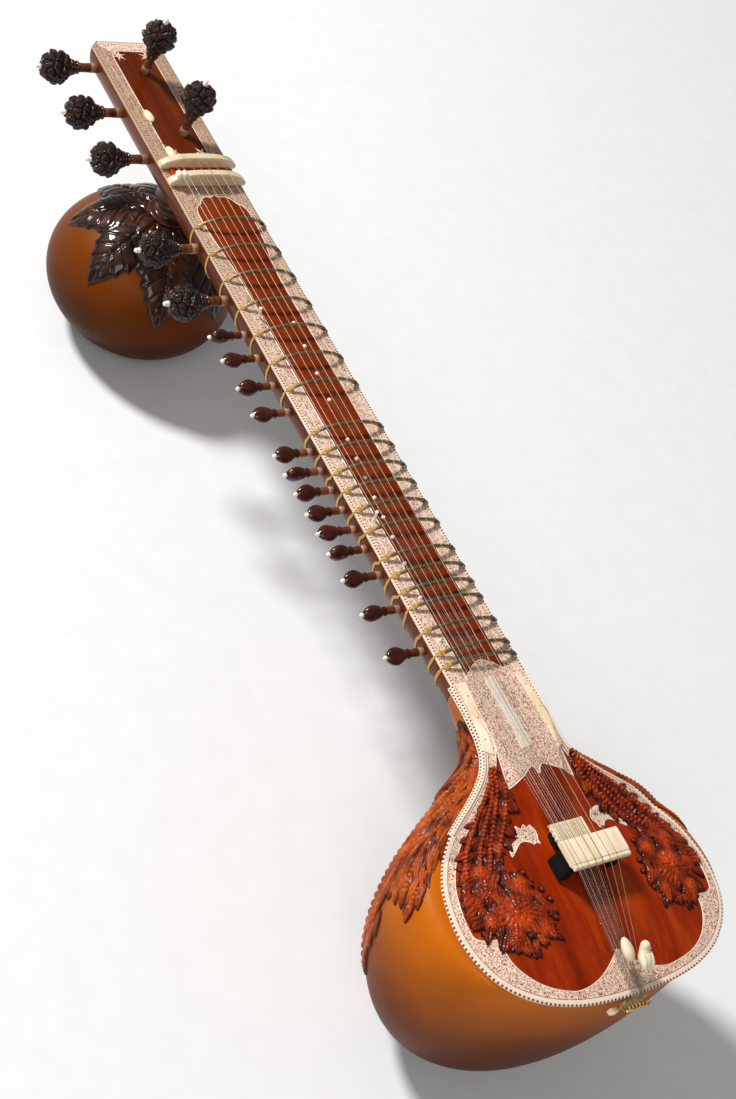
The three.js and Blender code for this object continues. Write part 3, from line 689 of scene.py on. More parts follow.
def binding_width(turn):
    degrees = np.degrees(turn) % 360
    near_neck = np.minimum(degrees, 360 - degrees)
    width = NECK_BINDING_WIDTH + (BINDING_WIDTH - NECK_BINDING_WIDTH) * smoothstep(near_neck, 18, 36)
    for middle, depth, before, after in BINDING_POINTS:
        span = np.where(degrees < middle, before, after)
        near = np.clip(1 - np.abs(degrees - middle) / span, 0, 1)
        width = np.maximum(width, BINDING_WIDTH + (depth - BINDING_WIDTH) * near**1.8)
    return width


def rim_line(steps):
    """The outline, the way in from it, and the binding's width at each of its points."""
    outline = evenly(outline_points(200), steps)
    middle = outline - [BOARD_MIDDLE, 0]
    width = binding_width(np.arctan2(middle[:, 1], middle[:, 0]))
    return outline, left_of(outline), width


RIBBON_TAIL_X = 96
RIBBON_NECK_X = 226


def sheet(rows):
    """An open surface over rows of points."""
    return np.array(rows).reshape(-1, 3), grid_faces(len(rows), len(rows[0]))


def laid(line, lift):
    """A flat line laid on the soundboard and the neck's face, lifted a little."""
    return np.column_stack([line, board_z(*line.T) + lift])


def rim_binding():
    steps = 900
    outline, inwards, width = rim_line(steps)
    gone = gone_along(outline)
    rows = []
    uv = []
    for drop, out in [(-5.5, 0), (-4.6, 0.5), (-0.6, 0.6), (0, 0.3)]:
        place = outline - inwards * out
        rows.append(np.column_stack([place, board_z(*outline.T) + drop + BINDING_LIFT]))
        uv.append(np.column_stack([gone, np.full(steps + 1, drop)]))
    for share in np.linspace(0.05, 1, 9):
        rows.append(laid(outline + inwards * (width * share)[:, None], BINDING_LIFT))
        uv.append(np.column_stack([gone, width * share]))
    rows.append(rows[-1] - [0, 0, 2 * BINDING_LIFT])
    uv.append(uv[-1])
    piece("rim_binding", sheet(rows), RIM_BORDER, uv=np.vstack(uv) * MM)
    edge = laid(outline + inwards * width[:, None], 0.25)
    piece("rim_edging", tube(edge, 0.5, 6), WHITE_BONE)
    rim_rope()
    rim_ribbons()


def rim_rope():
    """The beaded cord of dark and white inlay along the rim, as far as the dotted ribbons."""
    outline, inwards, _ = rim_line(1800)
    used = outline[:, 0] < RIBBON_TAIL_X
    outline, inwards = outline[used], inwards[used]
    gone = gone_along(outline)
    line = np.column_stack([outline - inwards * 0.5, board_z(*outline.T) - 1.1])
    sides = 8
    swell = 1.45 + 0.3 * np.cos(2 * np.pi * gone / ROPE_PITCH)
    part = tube(line, swell, sides)
    along = np.r_[np.repeat(gone, sides), gone[0], gone[-1]]
    piece("rim_rope", part, ROPE_BONE, uv=np.column_stack([along, along]) * MM)


def rim_ribbons():
    """White ribbons with two rows of dark dots, tilted outwards along the edges of the throat."""
    xs = np.linspace(RIBBON_TAIL_X - 3, RIBBON_NECK_X, 120)
    order = PEAR[:, 0].argsort()
    ys = np.where(xs < PEAR_END_X, np.interp(xs, PEAR[order, 0], PEAR[order, 1]), HALF_WIDTH)
    edge = np.column_stack([xs, ys])
    outwards = left_of(edge)
    gone = gone_along(edge)
    # The ribbon's section: how far out, how high, and the place across the ribbon.
    section = [(-1.6, -0.4, 0), (-1.6, 0.9, 0), (0.2, 1.1, 0.6), (4.2, -3.4, 6.6), (3.4, -4.6, 7), (0, -2, 7)]
    uv = np.vstack([np.column_stack([gone, np.full(len(gone), across)]) for _, _, across in section])
    for side, name in ((1, "rim_ribbon_left"), (-1, "rim_ribbon_right")):
        rows = []
        for out, rise, _ in section:
            rows.append(np.column_stack([(edge + outwards * out) * [1, side], board_z(xs, ys) + rise]))
        piece(name, sheet(rows), RIBBON_BONE, uv=uv * MM)


# ---- carved relief ----
def leaf(x, y, heading, length, width, height, curl=0.0, veins=7, lift=0.0):
    """A pointed leaf with a midrib, side veins and a toothed edge."""
    heading = math.radians(heading)

    def rise(px, py):
        forward = (px - x) * math.cos(heading) + (py - y) * math.sin(heading)
        sideways = (py - y) * math.cos(heading) - (px - x) * math.sin(heading)
        along = forward / length
        inside = (along > 0) & (along < 1)
        along = np.clip(along, 1e-4, 1 - 1e-4)
        sideways = sideways - curl * length * along**2
        teeth = 1 - 0.13 * np.abs(np.sin(veins * np.pi * along))
        half = width / 2 * np.sin(np.pi * along**0.75) ** 0.8 * teeth
        out = np.abs(sideways) / np.maximum(half, 1e-3)
        dome = np.clip(1 - out**2.4, 0, 1) ** 0.55
        rib = 1 - 0.5 * np.exp(-((sideways / (0.035 * width + 0.35)) ** 2))
        vein = 1 - 0.3 * np.clip(np.cos(2 * np.pi * (along * veins - out * 1.3)), 0, 1) ** 3
        top = lift + height * dome * rib * vein * (0.55 + 0.45 * np.sin(np.pi * along))
        return np.where(inside & (out < 1), top, -1)

    return rise, (x, y, length + width)


def bead(x, y, radius, height):
    """A small carved ball."""

    def rise(px, py):
        out = np.hypot(px - x, py - y) / radius
        return np.where(out < 1, height - radius + radius * np.sqrt(np.clip(1 - out * out, 0, 1)), -1)

    return rise, (x, y, radius * 1.1)


def beads_along(line, radius, height):
    length = gone_along(spline(line, 60))[-1]
    return [bead(x, y, radius, height) for x, y in spline(line, max(2, int(length / (2.3 * radius))))]


def flower(x, y, size, height):
    """Rings of crinkled petals round a seeded middle."""
    parts = []
    rings = [(11, 1.0, 0.66, 0.0), (8, 0.74, 0.62, 1.0), (6, 0.46, 0.5, 2.0)]
    for order, (count, reach, wide, lift) in enumerate(rings):
        for i in range(count):
            turn = 360 * (i + order * 0.5) / count + random.uniform(-9, 9)
            reach_here = size * reach * random.uniform(0.88, 1.06)
            curl = random.uniform(-0.2, 0.2)
            parts.append(leaf(x, y, turn, reach_here, size * wide, height, curl, 3, lift))
    parts.append(bead(x, y, size * 0.15, height + 2.2))
    return parts


def relief(elements, low, high, step):
    """Grid points and the carving's height over them; outside the carving it is -1."""
    xs = np.arange(low[0], high[0], step)
    ys = np.arange(low[1], high[1], step)
    px, py = np.meshgrid(xs, ys, indexing="ij")
    height = np.full(px.shape, -1.0)
    for rise, (x, y, reach) in elements:
        i = slice(*np.searchsorted(xs, [x - reach, x + reach]))
        j = slice(*np.searchsorted(ys, [y - reach, y + reach]))
        if px[i, j].size:
            height[i, j] = np.maximum(height[i, j], rise(px[i, j], py[i, j]))
    return px, py, height


FULL_RELIEF = 3.6  # the carving's height that counts as its ridges; lower down, painted shade darkens it
# A higher power spreads the painted shade further up the carving.
HOLLOW_SHADE_POWER = 2.6


def relief_mesh(elements, low, high, step, place):
    """The carving as a mesh and its map of painted shade, dark in the hollows.
    place turns two flat coordinates and the height into points."""
    px, py, height = relief(elements, low, high, step)
    used = height > 0
    faces = grid_faces(*px.shape)
    faces = faces[used.ravel()[faces].any(axis=1)]
    points = place(px, py, np.where(used, height, -0.6)).reshape(-1, 3)
    # Painted shade: the carving's height share, so its low parts take the hollows' dark colour.
    share = (np.clip(height / FULL_RELIEF, 0, 1) ** HOLLOW_SHADE_POWER).reshape(-1, 1)
    keep, small = np.unique(faces, return_inverse=True)
    return (points[keep], small.reshape(faces.shape)), np.hstack([share, share])[keep]


def above(surface):
    """Turns a surface of two coordinates into a place for carving that stands out along its normal."""

    def place(a, b, h):
        here = surface(a, b)
        towards_a = surface(a + 0.5, b) - here
        towards_b = surface(a, b + 0.5) - here
        normal = np.cross(towards_a, towards_b)
        normal /= np.maximum(np.linalg.norm(normal, axis=-1, keepdims=True), 1e-9)
        return here + normal * h[..., None]

    return place


def inside(outline, px, py):
    """Which points lie inside an outline."""
    within = np.zeros(np.shape(px), bool)
    for (ax, ay), (bx, by) in zip(outline, outline[1:] + outline[:1]):
        crosses = (ay > py) != (by > py)
        within ^= crosses & (px < (bx - ax) * (py - ay) / ((by - ay) or 1e-9) + ax)
    return within


def bed(outline, height):
    """The chiselled ground between the leaves."""
    low = np.min(outline, axis=0)
    high = np.max(outline, axis=0)

    def rise(px, py):
        marks = 0.3 * np.sin(1.7 * px + 0.9 * py) * np.sin(1.2 * py - 0.8 * px)
        return np.where(inside(outline, px, py), height + marks, -1)

    return rise, (*(low + high) / 2, max(high - low) / 2 + 1)


def leafage(outline, flow, spacing, length, width, height):
    """Small overlapping leaves that fill an outline; flow gives their heading at each place."""
    parts = []
    low = np.min(outline, axis=0)
    high = np.max(outline, axis=0)
    for x in np.arange(low[0], high[0], spacing):
        for y in np.arange(low[1], high[1], spacing):
            place = np.array([x, y]) + [random.uniform(-0.4, 0.4) * spacing for _ in "xy"]
            if inside(outline, *place):
                turn = flow(*place) + random.uniform(-28, 28)
                size = random.uniform(0.75, 1.2)
                lift = random.uniform(0.0, 1.5)
                curl = random.uniform(-0.3, 0.3)
                parts.append(leaf(*place, turn, length * size, width * size, height, curl, 4, lift))
    return parts


VINE_OUTLINE = [
    (142, 48), (134, 40), (122, 38), (108, 42), (93, 51), (77, 64), (62, 77), (48, 82), (38, 72),
    (25, 64), (10, 60), (-6, 62), (-17, 68), (-20, 76), (-24, 88), (-24, 96), (-18, 104), (-14, 112),
    (-6, 119), (4, 125), (20, 127), (38, 124), (54, 118), (74, 105), (90, 92), (106, 75), (120, 60),
]


def vine_flow(x, y):
    """The leaves splay out from the stem on their way to the flower."""
    aside = 0.385 * (x - 148) + 0.923 * (y - 50)
    return 157 - 42 * min(max(aside / 14, -1), 1)


def vine_panel():
    """Elements of the carved vine with its flower, for the soundboard's +Y side."""
    parts = [bed(VINE_OUTLINE, 0.7)]
    parts += leafage(VINE_OUTLINE, vine_flow, 6.4, 15, 8.5, 2.6)
    for line in [
        [(138, 46), (118, 52), (98, 64), (74, 80), (52, 94)],
        [(136, 50), (116, 58), (98, 72), (78, 88), (56, 102)],
        [(126, 56), (112, 69), (94, 88), (72, 107), (52, 118)],
        [(122, 42), (108, 47), (92, 56), (74, 69), (58, 82)],
    ]:
        parts += beads_along(line, 1.8, 4.9)
    small_flowers = [(36, 108, 17), (30, 76, 15), (-14, 104, 15), (8, 118, 13), (52, 104, 13), (-12, 72, 12)]
    for x, y, size in small_flowers:
        parts += flower(x, y, size, 3.0)
    parts += flower(6, 93, 26, 4.2)
    buds = [(9, 55), (-8, 58), (-25, 77), (-28, 96), (-19, 116), (40, 66), (0, 129), (20, 58), (-24, 106)]
    for x, y in buds:
        parts.append(bead(x, y, 3.0, 3.0))
    return parts


def carved_panels():
    parts = vine_panel()
    for side, aside, name in ((1, 0, "vine_panel_left"), (-1, 4, "vine_panel_right")):

        def place(x, y, h):
            y = y + aside
            return np.stack([x, side * y, board_z(x, y) + h], -1)

        part, hollow_shade_map = relief_mesh(parts, (-38, 38), (146, 138), 0.6, place)
        piece(name, part, CARVED_RED, uv=hollow_shade_map)


RIM_LENGTH = 427  # along the rim, from the tail to the neck
TILT_LENGTH = 170  # from the rim down the gourd's flank


def flank(side):
    """The gourd's flank: a runs from the neck back along the rim, b down from the rim."""

    def surface(a, b):
        u = np.clip(1 - a / RIM_LENGTH, 0, 1)
        return gourd_point(u, np.clip(b / TILT_LENGTH, 0.01, 1) ** 1.8) * [1, side, 1]

    return surface


FLANK_OUTLINE = [
    (36, 6), (70, 6), (110, 5), (150, 4), (152, 13), (173, 27), (185, 40), (195, 57), (176, 58),
    (160, 66), (156, 80), (170, 92), (178, 108), (165, 112), (150, 108), (148, 120), (160, 137),
    (163, 152), (148, 150), (126, 142), (100, 132), (74, 124), (50, 118), (36, 110),
]


def flank_leaves():
    parts = [bed(FLANK_OUTLINE, 0.8)]
    parts += leafage(FLANK_OUTLINE, lambda a, b: 8 + 0.32 * b, 7.5, 20, 9.5, 2.8)
    for line in [
        [(40, 11), (80, 12), (118, 14), (148, 21), (173, 34), (191, 54)],
        [(40, 20), (80, 24), (118, 31), (148, 43), (174, 56)],
        [(40, 31), (80, 40), (115, 54), (142, 72), (170, 98)],
        [(40, 46), (80, 60), (112, 78), (138, 98), (158, 128)],
        [(40, 64), (76, 80), (106, 100), (132, 122), (150, 144)],
    ]:
        parts += beads_along(line, 2.0, 5.0)
    return parts


def carved_flanks():
    """Leaves on the gourd's flanks, cut shallower towards the rim."""
    parts = flank_leaves()
    for side, name in ((1, "flank_leaves_left"), (-1, "flank_leaves_right")):
        carved = above(flank(side))

        def place(a, b, h):
            return carved(a, b, -side * h * (0.2 + 0.8 * smoothstep(b, 8, 60)))

        part, hollow_shade_map = relief_mesh(parts, (32, 1), (205, 160), 0.8, place)
        piece(name, part, CARVED_ORANGE, uv=hollow_shade_map)


JOINT_GIRTH = 220


def carved_joint():
    """Overlapping leaves all round the neck joint."""

    def surface(a, b):
        x = np.clip(JOINT_LOW.x + a, JOINT_LOW.x, JOINT_HIGH.x)
        return joint_point(x, np.clip(b / JOINT_GIRTH, 0.001, 0.999))

    edge = 6
    span = JOINT_GIRTH - 2 * edge
    outline = [(-2, edge)]
    outline += [(40 + 9 * abs(math.sin(7 * math.pi * i / 56)), edge + span * i / 56) for i in range(57)]
    outline += [(-2, JOINT_GIRTH - edge)]
    parts = [bed(outline, 0.6)] + leafage(outline, lambda a, b: 180, 7.5, 17, 10, 2.4)
    part, hollow_shade_map = relief_mesh(parts, (-2, 1), (56, JOINT_GIRTH - 1), 0.8, above(surface))
    piece("joint_leaves", part, CARVED_ORANGE, uv=hollow_shade_map)


# ---- the neck and its face ----
def neck_outline(half_width, top_z, depth, sides=48):
    turns = np.linspace(0, np.pi, sides)
    y = half_width * np.cos(turns)
    z = top_z - 2 - (depth - 2) * np.sin(turns)
    return np.column_stack([np.r_[y, -half_width, half_width], np.r_[z, top_z, top_z]])


def neck_wood():
    top = NECK_HIGH.z
    depth = top - NECK_LOW.z
    rings = []
    for x, less in [
        (NECK_LOW.x, 0), (NECK_LOW.x + 1, 0), (NECK_HIGH.x - 14, 0), (NECK_HIGH.x - 10, 0.2),
        (NECK_HIGH.x - 6, 2), (NECK_HIGH.x - 3, 5), (NECK_HIGH.x, 9),
    ]:
        section = neck_outline(HALF_WIDTH - less, top, depth - less * 0.7)
        rings.append(np.column_stack([np.full(len(section), x), section]))
    piece("neck_back", closed_skin(rings), NECK_WOOD, stands_for=["neck"])


INLAY = 0.16  # how far an inlaid plate stands out of the face it lies in
PLATE_THICK = 3
TRIM = 0.05  # how far the face plates stay inside the neck's edges


def faceplate(name, x0, x1, corner, node, step, end_band):
    """The etched bone face of the neck or the head, with bands along both edges, and along the end too."""
    xs = np.unique(np.r_[np.linspace(x0, x1, int((x1 - x0) / step) + 1), x1 - corner, x1 - 0.02])
    half = HALF_WIDTH - np.clip(xs - (x1 - corner), 0, corner) - TRIM
    cols = int(2 * HALF_WIDTH / min(step, 6)) + 1
    y = half[:, None] * np.linspace(-1, 1, cols)
    x = np.repeat(xs[:, None], cols, 1)
    grid = grid_faces(len(xs), cols)
    top = np.stack([x, y, np.full(x.shape, FACE_Z - INLAY)], -1).reshape(-1, 3)
    count = len(top)
    border = list(range(cols)) + [r * cols + cols - 1 for r in range(1, len(xs))]
    border += [(len(xs) - 1) * cols + c for c in range(cols - 2, -1, -1)]
    border += [r * cols for r in range(len(xs) - 2, 0, -1)]
    faces = grid.tolist() + (grid[:, ::-1] + count).tolist()
    faces += [[a, b, b + count, a + count] for a, b in zip(border, border[1:] + border[:1])]
    points = np.vstack([top, top - [0, 0, PLATE_THICK - INLAY]])
    across = half[:, None] - np.abs(y)
    along = x
    if end_band:
        along = np.where(x1 - x < across, y, x)
        across = np.minimum(across, x1 - x)
    uv = np.tile(np.column_stack([along.ravel(), across.ravel()]) * MM, (2, 1))
    piece(name, (points, faces), NECK_BORDER, stands_for=[node], uv=uv, flat_shaded=True)


PANEL_HALF = 24.5
ARCH_MIDDLE_Y = -2
# The scalloped arch below the nut, from its springing to its point: three arcs of (x, half width).
ARCH_ARCS = [
    [(829, 32.8), (837, 33), (845, 32.9), (851, 32), (856.2, 30), (860.2, 26.5), (861.6, 22.6)],
    [(861.6, 22.6), (866, 21), (869.8, 17.6), (872.3, 13.5), (873, 10), (871.5, 7)],
    [(871.5, 7), (872.8, 3), (876.5, 0)],
]


def panel_outline():
    arch = [spline(arc, 10).tolist() for arc in ARCH_ARCS]
    half = arch[0] + arch[1][1:] + arch[2][1:]
    edges = []
    for side in (1, -1):
        line = []
        for x in np.linspace(234, 824, 30):
            wide = float(smoothstep(x, 745, 829))
            line.append((x, side * (PANEL_HALF + (32.8 - PANEL_HALF) * wide) + ARCH_MIDDLE_Y * wide))
        edges.append(line + [(x, side * y + ARCH_MIDDLE_Y) for x, y in half])
    return edges[0] + edges[1][-2::-1]


def edging(name, outline, radius=0.55, lift=0.0):
    line = evenly(np.array([*outline, outline[0]], float), 400)
    piece(name, tube(laid(line, lift), radius, 6), WHITE_BONE)


def neck_panel():
    outline = panel_outline()
    piece("neck_panel", slab(outline, FACE_Z - 1, FACE_Z), PANEL_WOOD, flat_shaded=True)
    edging("neck_panel_edging", outline, lift=-0.25)


def head_panel():
    x0, x1, half, corner = GUIDE_X + 14, HEAD_HIGH.x - 17, 26, 9
    outline = [
        (x0, half - corner), (x0 + corner, half), (x1 - corner, half), (x1, half - corner),
        (x1, corner - half), (x1 - corner, -half), (x0 + corner, -half), (x0, corner - half),
    ]
    piece("head_panel", slab(outline, FACE_Z - 1, FACE_Z), HEAD_WOOD, flat_shaded=True)
    edging("head_panel_edging", outline, lift=-0.25)
    places = [(x, y) for x in (x0 + 8, x1 - 8) for y in (half - 8, 8 - half)]
    for n, (x, y) in enumerate(places, 1):
        shape = slab(star(x, y, 9.5, 3.2, 6, 15 * n), FACE_Z - 1, FACE_Z + INLAY)
        piece(f"head_star_{n}", shape, ETCHED, flat_shaded=True)


def star(x, y, long, short, points, turn):
    """A pointed star's outline."""
    outline = []
    for i in range(2 * points):
        angle = math.radians(turn + 180 * i / points)
        reach = short if i % 2 else long
        outline.append((x + reach * math.cos(angle), y + reach * math.sin(angle)))
    return outline


# ---- inlays at the throat and on the soundboard ----
# The pointed end of the throat's plate, as (y, x).
THROAT_END = [
    (37, 117), (30, 119), (20, 123), (12, 128.5), (7, 131), (4.5, 127), (2, 121), (-1, 127), (-5, 131),
    (-12, 128), (-24, 122), (-33, 117.5), (-39, 114),
]


def throat_plate():
    """The etched plate between neck and soundboard: pointed at its tail end, arched at its neck end."""
    cols = 80
    y_tail = np.linspace(39, -39, cols)
    ends = np.array(THROAT_END[::-1], float)
    x_tail = np.interp(y_tail, ends[:, 0], ends[:, 1])
    x_head = 247 - 14 * np.abs(y_tail / 30) ** 1.6
    rows = []
    for share in np.linspace(0, 1, 40):
        x = x_tail + (x_head - x_tail) * share
        rows.append(laid(np.column_stack([x, y_tail * (1 - 0.22 * share)]), 0.35))
    rows = [rows[0] - [0, 0, 1]] + rows + [rows[-1] - [0, 0, 1]]
    piece("throat_plate", sheet(rows), ETCHED)
    edge = np.vstack([rows[1][:, :2], rows[20][-1:, :2], rows[-2][::-1, :2], rows[20][:1, :2]])
    edging("throat_edging", edge.tolist(), 0.6, 0.3)


def strip(name, corners, thick, material):
    """A straight strip laid on the board and the neck's face, given by its corners in X and Y."""
    a, b, c, d = np.array(corners, float)
    rings = []
    for share in np.linspace(0, 1, 30):
        left = a + (d - a) * share
        right = b + (c - b) * share
        top = laid(np.linspace(left, right, 5), thick)
        rings.append(np.vstack([top, top[::-1] - [0, 0, thick + 1]]))
    rounded(piece(name, closed_skin(rings), material), 0.35, 2)


def throat_strips():
    strip("throat_bone_left", [(227, 38.5), (227, 31.5), (150, 40), (157, 48)], 1.8, BONE)
    strip("throat_bone_right", [(226, -30.5), (226, -37), (146, -42), (142, -33.5)], 1.8, BONE)
    strip("throat_strip", [(228, 7), (228, -5), (150, -5), (148, 9)], 1.1, WHITE_BONE)
    for n, y in enumerate((1.6, -0.6, -3), 1):
        line = laid(np.linspace((227, y), (151, y + 0.6), 20), 1.1)
        piece(f"throat_line_{n}", tube(line, 0.1, 5), INK)
    pins = [(212, 36), (188, 38.5), (166, 42), (212, -34.5), (186, -36), (162, -37.5)]
    profile = spline([(0.01, 1.2), (0.7, 1.1), (1, 0), (1, -1)], 8).tolist() + [(0, -1)]
    for n, (x, y) in enumerate(pins, 1):
        place = shift(x, y, float(board_z(x, y)) + 1)
        piece(f"throat_pin_{n}", moved(turned(profile, 12), place), BRASS)


# A small crested bird seen from the side, tail first.
BIRD = [
    (57, 66), (63, 65), (68, 60), (71, 53), (73, 46), (75, 51), (79, 53), (78, 47), (84, 48),
    (79, 43), (83, 39), (79, 37), (81, 33), (78, 31), (74, 29), (69, 30), (66, 32), (61, 32),
    (64, 35), (62, 38), (65, 40), (68, 45), (68, 50), (65, 55), (61, 60),
]


def birds():
    for side, offset, name in ((1, 0, "bird_left"), (-1, 10, "bird_right")):
        outline = np.array([(x, side * (y + offset)) for x, y in BIRD], float)
        piece(name, relief_slab(outline, 0.35), ETCHED)
        line = evenly(np.vstack([outline, outline[:1]]), 120)
        piece(f"{name}_edging", tube(laid(line, 0.2), 0.45, 6), WHITE_BONE)


def relief_slab(outline, thick):
    """A thin plate that follows the soundboard inside an outline."""
    plate = bmesh.new()
    corners = [plate.verts.new((x, y, 0)) for x, y in outline]
    plate.faces.new(corners)
    bmesh.ops.triangulate(plate, faces=plate.faces)
    bmesh.ops.subdivide_edges(plate, edges=plate.edges, cuts=2, use_grid_fill=True)
    points, faces = taken_from(plate)
    return laid(np.array(points)[:, :2], thick), faces


# ---- bridges, nut, guide and tail ----
def main_bridge():
    x0, x1, low, top = PLATE_LOW.x, PLATE_HIGH.x, PLATE_LOW.z, PLATE_HIGH.z
    profile = [
        (x0, low + 1.6), (x0, top - 2.4), (x0 + 1.2, top - 1.1), (x0 + 3.6, top - 1.0),
        (x0 + 4.2, top - 1.5), (x0 + 4.8, top - 0.5), (x0 + 9, top), (x1 - 3, top - 0.2),
        (x1, top - 1), (x1, low), (x0 + 5, low), (x0 + 4, low + 1.6),
    ]
    plate = bar_along_y(profile, PLATE_LOW.y, PLATE_HIGH.y)
    rounded(piece("main_bridge_bone", plate, BONE, stands_for=["main_bridge_plate"]), 0.5)
    low, high = box_mm("main_bridge_feet")
    y0, y1, foot, head = low.y, high.y, low.z, high.z
    outline = [
        (y0, foot), (y0 + 13, foot), (y0 + 14, foot + 6), (y0 + 19, head - 5), (y1 - 19, head - 5),
        (y1 - 11, foot + 6), (y1 - 10, foot), (y1, foot), (y1 - 2, head), (y0 + 1, head),
    ]
    block = bar_along_x(outline, low.x, high.x)
    rounded(piece("main_bridge_block", block, EBONY, stands_for=["main_bridge_feet"]), 1.2)


def small_bridge():
    x0, x1, y0, y1 = SMALL_LOW.x, SMALL_HIGH.x, SMALL_LOW.y, SMALL_HIGH.y
    top, foot = SMALL_HIGH.z, SMALL_LOW.z
    scallops = 4
    outline = [(x0, y0), (x1, y0)]
    for share in np.linspace(0, 1, scallops * 8 + 1):
        outline.append((x1 + (x0 - x1) * share, y1 - 1.3 * abs(math.sin(math.pi * scallops * share))))
    plate = slab(outline, top - 3.6, top)
    rounded(piece("small_bridge_bone", plate, BONE, stands_for=["small_bridge"]), 0.4)
    ends = x0 + 2.5, x1 - 2.5
    # Dark lines where the strings cross: the grooves' marks, with the shade and shadow in them painted.
    groove_marks_and_shade = [tube([(x, y, top + 0.02) for x in ends], 0.14, 5) for y in np.linspace(y0 + 9, y1 - 6, 12)]
    piece("small_bridge_groove_marks_and_shade", merged(groove_marks_and_shade), DARK_THREAD)
    legs = []
    for a, b in ((y0 + 5, y0 + 12), (y1 - 13, y1 - 6)):
        outline = [(a, foot), (b, foot), (b - 1, top - 3.5), (a + 1, top - 3.5)]
        legs.append(bar_along_x(outline, x0 + 3, x1 - 3))
    rounded(piece("small_bridge_legs", merged(legs), EBONY), 0.6)


def arched_bar(low, high, height):
    """The section of the nut and of the guide in Y and Z: low ends and a crowned top."""
    half = (high.y - low.y) / 2
    outline = [(half - 1.5, low.z), (half - 0.3, low.z + 2.2)]
    for share in np.linspace(-1, 1, 41):
        y = -share * (half - 0.2)
        outline.append((y, low.z + 4.5 + (height - 4.5) * (1 - abs(share) ** 3.4) ** 0.85))
    return outline + [(0.3 - half, low.z + 2.2), (1.5 - half, low.z)]


def nut_and_guide():
    for name, node, low, high in (
        ("nut_bone", "nut", NUT_LOW, NUT_HIGH),
        ("guide_bone", "string_guide", GUIDE_LOW, GUIDE_HIGH),
    ):
        outline = arched_bar(low, high, high.z - low.z)
        bar = piece(name, bar_along_x(outline, low.x, high.x), NUT_BONE, stands_for=[node])
        rounded(bar, 1.8, 4, 50)
    x0, x1 = NUT_HIGH.x + 0.4, GUIDE_LOW.x - 0.4
    step = slab([(x0, -38), (x1, -38), (x1, 38), (x0, 38)], FACE_Z - 1, FACE_Z + 4)
    rounded(piece("nut_step", step, MAHOGANY), 0.8)
    for n, y in enumerate(NUT_STRINGS_Y[:2], 1):
        profile = spline([(1.8, -4.2), (3.3, -3), (3.6, 0), (3.3, 3), (1.8, 4.2)], 14).tolist()
        shape = turned([(0, -4.2)] + profile + [(0, 4.2)], 20)
        place = shift(NUT_X, y, NUT_HIGH.z - 3.2) @ rotation(90, "Y")
        piece(f"string_spacer_{n}", moved(shape, place), WHITE_BONE)


HOOK_BEND = [(-1, -9.5), (-5, -9.8), (-8, -8), (-9.4, -5), (-8.4, -2.2), (-6.4, -2.2)]


def tailpiece():
    x, low, high = TAIL_HIGH.x, TAIL_LOW, TAIL_HIGH
    outline = [
        (low.y, low.z), (high.y, low.z), (high.y, high.z - 1), (high.y - 4, high.z),
        (TAIL_Y, high.z + 0.6), (low.y + 4, high.z), (low.y, high.z - 1),
    ]
    wall = bar_along_x(outline, x - 2, x)
    rounded(piece("tail_plate", wall, BRASS, stands_for=["tailpiece"]), 0.4)
    hooks = []
    reach = (high.y - low.y) / 2 - 1.5
    for y in TAIL_Y + np.linspace(-reach, reach, 7):
        hooks.append(tube(spline([(x + out, y, high.z + drop) for out, drop in HOOK_BEND], 18), 0.9, 10))
    hooks.append(tube([(x - 8.8, y, high.z - 6.6) for y in (low.y, high.y)], 1.1, 12))
    piece("tail_hooks", merged(hooks), BRASS)
    y = high.y
    outline = [(-96, y + 0.6), (-91, y + 0.2), (-90, y + 8), (-95, y + 7)]
    rounded(piece("tail_stub", slab(outline, low.z - 2, low.z + 7), BONE), 1.6, 4)


# ---- strings ----
MAIN_KNOT_Z = 229.5  # where a string leaves its hook on the tail
MAIN_HOOK = (-93, 234)  # and the X and Z at which it bends over the rim
THIN_KNOT_Z = 228.5
THIN_HOOK = (-91, 231.3)
UNDER_BRIDGE_Z = 258
DRONE_POSTS = [(694, 28), (421.5, 28)]


def string_lines():
    """Main strings from tail to guide, then the sympathetic ones from tail to their eyelets."""
    top = PLATE_HIGH.z + 0.45
    nut_top = NUT_HIGH.z + 0.4
    tail_x = box_mm("main_strings")[0].x
    main = []
    for i, (bridge_y, nut_y) in enumerate(zip(BRIDGE_STRINGS_Y, NUT_STRINGS_Y)):
        tail_y = TAIL_Y + TAIL_STRING_GAP * (3 - i)
        main.append([
            (tail_x + 0.4, tail_y, MAIN_KNOT_Z), (MAIN_HOOK[0], tail_y, MAIN_HOOK[1]),
            (PLATE_LOW.x + 4, bridge_y, top),
            (PLATE_HIGH.x - 3, bridge_y, top), (NUT_X - 4, nut_y, nut_top), (NUT_X + 4, nut_y, nut_top),
            (GUIDE_X - 4, nut_y, FACE_Z + 10),
        ])
    thin = []
    for i, node in enumerate(THIN_PEGS):
        x, y = eyelet_place(node)
        aside = THIN_STRING_GAP * (i - (len(THIN_PEGS) - 1) / 2)
        tail_y = TAIL_Y + aside * 0.4
        bridge_y = SMALL_BRIDGE_Y + aside
        thin.append([
            (tail_x + 0.4, tail_y, THIN_KNOT_Z), (THIN_HOOK[0], tail_y, THIN_HOOK[1]),
            (BRIDGE_X, BRIDGE_Y + 2 + aside * 0.8, UNDER_BRIDGE_Z),
            (SMALL_LOW.x, bridge_y, SMALL_HIGH.z + 0.4), (SMALL_HIGH.x, bridge_y, SMALL_HIGH.z + 0.4),
            (x, y, FACE_Z + 1.4),
        ])
    return main, thin


EYELETS_X = (276, 683)
EYELETS_Y = (31, -10)


